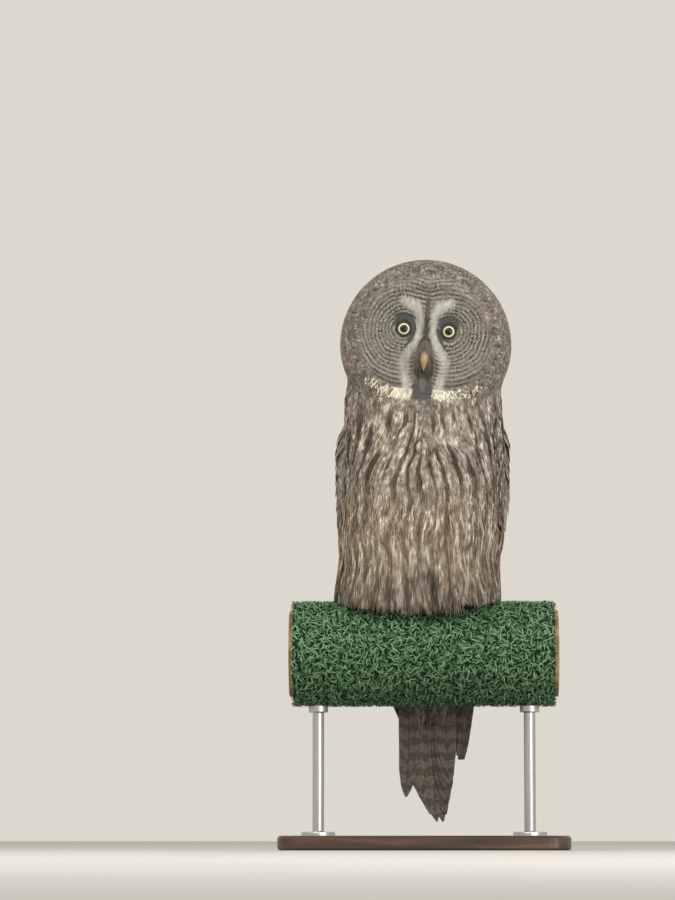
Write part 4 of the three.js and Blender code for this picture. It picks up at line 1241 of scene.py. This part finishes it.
def nape():
    """Loose feathers that hang from the neck over the top of the back and the wings."""
    count = 1700
    share = np.linspace(0, 1, 7)[None]
    root = rng.uniform(466, 514, count)[:, None]
    z = root - rng.uniform(20, 50, count)[:, None] * share
    degrees = 90 + rng.uniform(-78, 78, count)[:, None] * (1 - 0.08 * share)
    sides = smooth(np.abs(degrees - 90), 36, 50)
    on_back, on_wing = mix(MANTLE_OUT, 5, smooth(z, 466, 492)), mix(COVERT_OUT, 3.3, smooth(z, *SHOULDER))
    under = mix(on_back, on_wing, sides)
    out = mix(-1, under + rng.uniform(0.8, 3.2, count)[:, None], np.minimum(1, 1.6 * share))
    half = rng.uniform(1.0, 2.1, count)
    shape = (0.7, 1, 1, 0.95, 0.8, 0.55, 0.1)
    lean = rng.uniform(-0.5, 0.5, count)
    points = sheet_blades(wrap_point, z, np.radians(degrees), out, half, shape, 3, lean, 0.3)
    # Painted shade at the feathers' roots
    colors = paint_body(points) * shade_by_row(0.6, 0.8, 0.95, 1, 1.03, 1.06, 1.08)
    add_coat("nape_feathers", points, varied(colors, 0.12), round_chart(points[:, 0].mean(1)))


def tail():
    """Twelve tail feathers in pairs from the middle out, and the loose coverts under them."""
    share = np.linspace(0, 1, 40)
    shape = np.interp(share, [0, 0.25, 0.6, 0.88, 0.96, 1], [0.7, 0.9, 1, 0.85, 0.55, 0.1])
    pairs = ((3.5, 11, 0), (8.5, 11, 8), (13, 11, 20), (16.5, 11.5, 31), (18.5, 12, 41), (20.5, 12, 52))
    lines = []
    for pair, (at, half, short) in enumerate(pairs):
        for side in (-1, 1):
            loose = pair == 5 and side < 0
            z = mix(TAIL["root"], TAIL["tip"] + (28 if loose else short), share)
            across = side * at * mix(0.8, 1, np.minimum(1, 1.4 * share)) - 12 * loose * share**6
            layer = 0 if pair == 0 and side > 0 else pair + 1
            lines.append((z, across, -0.95 * layer + 0 * share, half))
    tint = INK["back"] * (0.86 + 0.05 * rng.standard_normal((12, 1)))
    lines = [np.array(values) for values in zip(*lines)]
    broad("tail_feathers", tail_point, lines, shape, tint, FLIGHT, 9)
    count = 34
    share = np.linspace(0, 1, 10)
    u = rng.uniform(-1, 1, count)[:, None]
    start = mix(306, 190, np.linspace(0, 1, count))[:, None]
    z = mix(start, np.maximum(start - 62, 126 + 26 * u * u), share)
    out = -0.95 * (8.4 + 2.2 * (1 - np.abs(u)) - 3 * share)
    shape = (0.6, 0.8, 0.95, 1, 1, 0.95, 0.85, 0.7, 0.4, 0.08)
    tint = three(("back_dark", "back", "breast"), rng.uniform(0.2, 0.8, count))
    lines = (z, u * mix(14, 21, share), out, rng.uniform(5, 8, count))
    broad("undertail_coverts", tail_point, lines, shape, tint, COVERT, streak=0.4)


def foot_feathers():
    """Short dense feathers on the legs and toes, down to the claws."""
    def from_legs(p):
        return np.abs(p[:, 0] - np.array(LEG["x"])[:, None])

    def keep(p):
        under_tail = (np.abs(p[:, 0] - 3) < 27) & (p[:, 1] > 36)
        near = from_legs(p).min(0) < 34
        return near & (p[:, 2] < 318) & (flesh(p) > -2) & (p[:, 1] < 50) & ~under_tail

    root, normal = scatter(1.5, keep)
    x = np.array(LEG["x"])[from_legs(root).argmin(0)]
    out = unit(root - stack(x, 5, POLE["z"] + 76))
    leg = smooth(root[:, 2], 290, 300)
    lie = tinted(out, np.array([0, 0, -1.0]), leg) + jitter(root, 0.15)
    length = mix(4.2, 7.5, leg) * each(root, 0.8, 1.2)
    tip = each(root, 0.5, 1.4)
    outs = stack(-0.6, 0.7 * tip, tip)
    width = each(root, 1.1, 1.8)
    points = blades(root, lie, length, width, outs, (0.8, 1, 0.15), 0.4, normal=normal)
    tint = tinted(INK["leg_dark"], INK["leg"], 0.5 + 0.5 * noise(root, 4, 13))[:, None, None]
    # Painted shade at the feathers' roots
    colors = varied(tint * shade_by_row(0.7, 1, 1.1), 0.12)
    add_coat("foot_feathers", points, colors, round_chart(root), slot="leg_plumage")


disc_feathers()
crown_feathers("crown_feathers_1", 1.35, -90, 12, 1.8)
crown_feathers("crown_feathers_2", 1.75, 12, 90, 2.6)
ruff_feathers()
bristles()
moustache()
hackles()
for name, band in PLUMES.items():
    front_plumes(name, *band)
for name, side in SIDES:
    flight_feathers(side, f"{name}_wing")
    coverts(side, f"{name}_wing")
mantle()
nape()
tail()
foot_feathers()


# Eyes and lids
def eye_material():
    n = Nodes("eye", 0.05, IOR=1.4)
    across, up = n.map("Iris")
    dx, dy = n.minus(across, 0.5), n.minus(up, 0.5)
    far = n.length(dx, dy)
    spokes = {0: n.times(n.math("ARCTAN2", dy, dx), 7.0), 1: n.times(far, 9.0)}
    fibres = n.noise(n.node("ShaderNodeCombineXYZ", spokes).outputs[0], 3.0, 3)
    edge = n.add(far, n.times(n.minus(fibres, 0.5), 0.012))
    n.set("Base Color", n.shaded(n.ramp(n.times(edge, 2.0), IRIS), 0.82, 1.12, fibres))
    return n.material


def eye(side, name, material):
    """A ball with a clear bulge over the iris, whose flat map holds the iris."""
    polar = np.radians(np.concatenate([np.linspace(0.2, 60, 40), np.linspace(66, 178, 14)]))[:, None]
    ray = sphere(polar, full_turn(7.5))
    cornea = EYE["iris"] + 1
    ahead = EYE["radius"] + EYE["bulge"] - cornea
    toward = -ray[..., 1] * ahead
    reach = toward + np.sqrt(np.maximum(0, toward**2 - ahead**2 + cornea**2))
    reach = np.where(toward**2 > ahead**2 - cornea**2, np.maximum(reach, EYE["radius"]), EYE["radius"])
    local = ray * reach[..., None]
    mesh = ring_mesh(name, from_head(local + [side * EYE["x"], EYE["y"], EYE["z"]]))
    index = np.empty(len(mesh.loops), np.int32)
    mesh.loops.foreach_get("vertex_index", index)
    flat = local[..., [0, 2]]
    far = np.linalg.norm(flat, axis=-1, keepdims=True)
    flat = flat * np.where(local[..., 1:2] < 0, 1, 23 / np.maximum(far, 1) - 1)
    set_map(mesh, "Iris", (flat / 20 + 0.5).reshape(-1, 2), index)
    finish_object(name + "_ball", mesh, material, "eye", name)


def lid_material():
    n = Nodes("lid_skin", 0.6)
    folds = n.noise(n.place(), 900, 3)
    n.set("Base Color", n.blend(INK["lid_dark"], INK["lid"], n.span(folds, 0.3, 0.75)))
    n.bump(folds, 0.4, 0.0004)
    return n.material


def lids(side, name, material):
    """A wrinkled ring of bare skin round the eye, thicker at its top."""
    a = full_turn(4).T
    b = full_turn(24)
    top = np.maximum(0, np.sin(a))
    tube = LID["tube"] * (1 + 0.25 * top) * (1 + 0.07 * np.sin(26 * a) * np.cos(b / 2) ** 2)
    r = LID["radius"] - 0.25 * top + tube * np.cos(b)
    y = EYE["y"] - LID["proud"] + 1.3 * tube * np.sin(b)
    points = stack(side * EYE["x"] + r * np.cos(a), y, EYE["z"] + r * np.sin(a))
    finish_object(name, ring_mesh(name, from_head(points), loop=True), material, "head_plumage")


EYE_MATERIAL, LID_MATERIAL = eye_material(), lid_material()
for name, side in SIDES:
    eye(side, f"{name}_eye", EYE_MATERIAL)
    lids(side, f"{name}_lids", LID_MATERIAL)


# Bill and claws
def horn_material(name, roughness):
    n = Nodes(name, roughness, Coat_Weight=0.2, Coat_Roughness=0.25)
    place = n.place()
    growth = n.noise(n.stretched(place, (1, 1, 0.3)), 1500, 3)
    cloud = n.noise(place, 240, 3)
    n.set("Base Color", n.shaded(n.shaded(n.tint(), 0.82, 1.15, cloud), 0.9, 1.08, growth))
    n.set("Roughness", n.span(cloud, 0.2, 0.8, roughness, roughness + 0.2))
    n.bump(growth, 0.25, 0.0003)
    return n.material


HORN, CLAW_HORN = horn_material("bill_horn", 0.35), horn_material("claw_horn", 0.22)
BILL_UP = (0, -0.35, 0.94)
BILL_UPPER = [(0, -58, -9), (0, -73, -10), (0, -84, -14), (0, -87.5, -23), (0, -83, -34)]
BILL_LOWER = [(0, -58, -20), (0, -69, -21.5), (0, -77, -24.5), (0, -80.5, -29)]
UPPER_HALF, LOWER_HALF = (7, 6.6, 5.6, 4, 0.5), (6.2, 5.6, 4.2, 0.8)


def horn_piece(name, rings, color, material, slot, node):
    mesh = ring_mesh(name, rings)
    set_tint(mesh, np.broadcast_to(color, rings.shape).reshape(-1, 3))
    finish_object(name, mesh, material, slot, node)


def bill():
    rings = tube_rings(from_head(BILL_UPPER), UPPER_HALF, 40, 32, 1.15, BILL_UP)
    h = to_head(rings)
    nostril = ((np.abs(h[..., 0]) - 5.8) / 1.6) ** 2
    nostril = np.exp(-nostril - ((h[..., 1] + 79.5) / 2.2) ** 2 - ((h[..., 2] + 9.5) / 1.5) ** 2)
    rings = rings + (rings.mean(1, keepdims=True) - rings) * 0.3 * nostril[..., None]
    color = tinted(INK["bill_base"], INK["bill_ridge"], smooth(-h[..., 2], 8, 26))
    color = tinted(color, INK["bill_tip"], smooth(-h[..., 2], 31, 34.5))
    color = tinted(color, INK["nostril"], np.clip(nostril * 1.5, 0, 1))
    horn_piece("upper_bill", rings, color, HORN, "bill", "bill_upper")
    rings = tube_rings(from_head(BILL_LOWER), LOWER_HALF, 24, 24, 0.6, BILL_UP)
    horn_piece("lower_bill", rings, INK["bill_lower"], HORN, "bill", "bill_lower")


def claws():
    """Claws that curl down from the ends of the toes."""
    # Degrees on from the toe, height over the turf, further splay
    curve = ((7, 6.4, 0.1), (14, 4.4, 0.16), (20, 1.2, 0.2))
    share = np.linspace(0, 1, 22)[:, None]
    color = tinted(INK["claw_base"], INK["claw"], smooth(share, 0, 0.5))
    for x, (name, side) in zip(LEG["x"], SIDES):
        for k, toe in enumerate(TOES):
            path = toe_path(x, side, toe)
            splay, _, end = toe
            curl = math.copysign(1, end)
            root = path[4] - 2.5 * unit(path[4] - path[3])
            reach = [on_turf(x + side * splay * (1 + s), end + curl * turn, up) for turn, up, s in curve]
            rings = tube_rings([root, *reach], (3.4, 3.1, 2, 0.3), 22, 16)
            horn_piece(f"{name}_talon_{k + 1}", rings, color, CLAW_HORN, "claw", f"{name}_claw_{k + 1}")


bill()
claws()


# Perch and stand
def turf_material(name, roughness):
    n = Nodes(name, roughness, Specular_IOR_Level=0.35)
    fleck = n.noise(n.place(), 700, 3)
    n.set("Base Color", n.shaded(n.tint(), 0.7, 1.3, n.span(fleck, 0.3, 0.7)))
    n.bump(fleck, 0.4, 0.0005)
    return n.material


def turf_mat():
    """The turf's dark backing, an uneven sleeve round the pole."""
    half, turn = TURF["length"] / 2, full_turn(4)
    x = np.pad(np.linspace(-half + 0.5, half - 0.5, 90), 1, "edge")[:, None]
    radii = np.pad(np.full(90, float(TURF["mat"])), 1, constant_values=POLE["radius"] + 0.4)[:, None]
    rough = stack(x, radii * np.cos(turn), radii * np.sin(turn))
    radii = radii + np.where(radii > 50, 0.7 * noise(rough, 5, 21), 0)
    mesh = ring_mesh("turf_mat", stack(x, radii * np.cos(turn), POLE["z"] + radii * np.sin(turn)), loop=True)
    set_tint(mesh, INK["turf_dark"] * 0.8)
    finish_object("turf_mat", mesh, turf_material("turf_backing", 0.95), "turf", "perch_turf")


def turf_blades():
    """Curled blades in two halves, each blade bent over from its root and kept between two radii."""
    material = turf_material("turf_blades", 0.55)
    half = TURF["length"] / 2
    columns, rows = int(half / TURF["spacing"]), int(2 * np.pi * 56 / TURF["spacing"])
    share = np.linspace(0, 1, 7)[None, :, None]
    taper = np.array([0.8, 1, 1, 0.95, 0.85, 0.6, 0.15])[None, :, None]
    for part in range(2):
        place = lattice(columns, rows, 0.5)
        x = np.clip((part - 1) * half + place[:, 0] / columns * half, -half + 1, half - 1)
        turn = place[:, 1] / rows * 2 * np.pi
        up = stack(0, np.cos(turn), np.sin(turn))
        root = stack(x, 0, POLE["z"]) + up * TURF["root"]
        heading = each(x, 0, 2 * np.pi)[:, None]
        ahead = np.cos(heading) * [1, 0, 0] + np.sin(heading) * np.cross(up, [1, 0, 0])
        side = np.cross(up, ahead)[:, None]
        length, curl, start = (each(x, *span)[:, None, None] for span in ((8, 14), (1.9, 4.2), (-0.2, 0.3)))
        lean = start + curl * share
        rise, reach = np.sin(lean) - np.sin(start), np.cos(start) - np.cos(lean)
        middle = root[:, None] + length / curl * (rise * up[:, None] + reach * ahead[:, None])
        middle = middle + side * each(x, -2.2, 2.2)[:, None, None] * share**2
        width = each(x, 0.5, 0.85)[:, None, None] * taper
        points = np.stack([middle - side * width, middle + side * width], 2)
        off = points[..., 1:] - [0, POLE["z"]]
        far = np.linalg.norm(off, axis=-1, keepdims=True)
        points[..., 1:] = [0, POLE["z"]] + off / far * np.clip(far, TURF["low"], TURF["high"])
        points[..., 0] = np.clip(points[..., 0], -half - 1.5, half + 1.5)
        # Painted shade: each blade is darker where it lies low in the pile and lighter where it reaches the
        # top
        value = rng.beta(2, 2, len(x))[:, None, None] + 0.35 * (far[..., 0] - 57) / 3
        colors = varied(three(("turf_dark", "turf", "turf_light"), value), 0.08)
        charts = stack((x + half) / (2 * half), turn / (2 * np.pi))
        add_coat(f"turf_blades_{part + 1}", points, colors, charts, material, "turf")


def turned(name, x, profile, material, node):
    """A round upright form about x, from a list of radii and heights."""
    angle = full_turn(7.5)
    r, z = np.array(profile, float).T[..., None]
    mesh = ring_mesh(name, stack(x + r * np.cos(angle), r * np.sin(angle), z))
    finish_object(name, mesh, material, "stand_metal", node)
    mesh.set_sharp_from_angle(angle=math.radians(35))


def metal_material():
    n = Nodes("satin_steel", 0.32, Metallic=1.0)
    brushed = n.noise(n.stretched(n.place(), (1, 1, 0.02)), 1600, 3)
    n.set("Base Color", n.blend(grey(0.46), grey(0.6), brushed))
    n.set("Roughness", n.span(brushed, 0.2, 0.8, 0.24, 0.42))
    n.bump(brushed, 0.15, 0.0002)
    return n.material


def rods():
    material = metal_material()
    low, top = BASE_THICK + 0.35, POLE["z"] - TURF["radius"] - 1
    foot, radius, collar = ROD["foot"], ROD["radius"], ROD["collar"]
    thick, high = low + ROD["foot_thick"], top - ROD["collar_thick"]
    end = POLE["z"] - POLE["radius"] - 2
    profile = [
        (0.5, low), (foot, low), (foot, thick - 1), (foot - 0.3, thick - 0.3), (foot - 1, thick),
        (radius + 1, thick), (radius, thick + 1), (radius, high - 0.5), (radius + 0.4, high),
        (collar - 0.8, high), (collar, high + 0.8), (collar, top), (radius, top), (radius, end), (0.5, end),
    ]
    for name, side in SIDES:
        turned(f"{name}_rod", side * ROD["x"], profile, material, f"stand_rod_{name}")


def pole_material():
    """Sawn wood, with its year rings round a heart a little off the middle."""
    n = Nodes("sawn_wood", 0.7)
    place = n.place()
    _, y, z = n.parts(place)
    warp = n.times(n.minus(n.noise(place, 24, 2), 0.5), 0.006)
    far = n.length(n.minus(y, 4 * MM), n.minus(z, (POLE["z"] + 3) * MM))
    wave = n.math("SINE", n.times(n.add(far, warp), 2 * math.pi / 0.0034))
    grain = n.noise(n.stretched(place, (0.25, 1, 1)), 900, 4)
    rings = n.span(n.add(wave, n.minus(grain, 0.5)), -1, 1.2)
    color = n.blend(INK["wood"], INK["wood_dark"], rings)
    n.set("Base Color", n.shaded(color, 0.8, 1.12, grain))
    n.set("Roughness", n.span(grain, 0, 1, 0.6, 0.85))
    n.bump(n.add(rings, grain), 0.3, 0.0004)
    return n.material


def base_material():
    n = Nodes("dark_varnished_wood", 0.4, Coat_Weight=0.3, Coat_Roughness=0.2)
    place = n.place()
    grain = n.noise(n.stretched(place, (0.12, 1, 1)), 60, 5, 0.6, 0.8)
    pores = n.noise(n.stretched(place, (0.04, 1, 1)), 1300, 2)
    n.set("Base Color", n.shaded(n.ramp(grain, VARNISH), 0.75, 1.1, n.span(pores, 0.35, 0.6)))
    n.set("Roughness", n.span(grain, 0.3, 0.7, 0.32, 0.5))
    n.bump(pores, 0.15, 0.0003)
    return n.material


turf_mat()
turf_blades()
rods()
for node, material in (("perch_pole", pole_material()), ("stand_base", base_material())):
    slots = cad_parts[node].data.materials
    for i in range(len(slots)):
        slots[i] = material


# Camera, floor and light
def look():
    data = bpy.data.cameras.new("camera")
    data.sensor_width = 36
    data.lens = 152
    data.clip_start, data.clip_end = 0.1, 60
    camera = placed("camera", data)
    camera.location = (0, -4.256, 0.012)
    camera.rotation_euler = (math.radians(90 + 5.85), 0, math.radians(1.3))
    bpy.context.scene.camera = camera


def lamp(name, place, size, power, color):
    """A round lamp that shines on the middle of the owl."""
    data = bpy.data.lights.new(name, "AREA")
    data.shape = "DISK"
    data.size = size
    data.energy = power
    data.color = color
    made = placed(name, data)
    made.location = place
    made.rotation_euler = (Vector((0, 0, 0.4)) - Vector(place)).to_track_quat("-Z", "Y").to_euler()


def floor():
    mesh = bpy.data.meshes.new("floor")
    mesh.from_pydata([(-14, -4.24, 0), (14, -4.24, 0), (14, 20, 0), (-14, 20, 0)], [], [(0, 1, 2, 3)])
    n = Nodes("pale_floor", 0.8)
    n.set("Base Color", n.blend(INK["floor_dark"], INK["floor"], n.noise(n.place(), 3, 4)))
    mesh.materials.append(n.material)
    placed("floor", mesh)


def sky():
    world = bpy.data.worlds.new("studio")
    world.use_nodes = True
    background = world.node_tree.nodes["Background"]
    background.inputs[0].default_value = (1.0, 0.955, 0.85, 1)
    background.inputs[1].default_value = 0.72
    bpy.context.scene.world = world


look()
floor()
sky()
lamp("key_light", (-0.9, -2.2, 2.6), 1.8, 40, (1, 0.98, 0.96))
lamp("fill_light", (1.6, -2.6, 0.9), 1.8, 43, (0.97, 0.98, 1))
bpy.context.scene.view_settings.view_transform = "Standard"
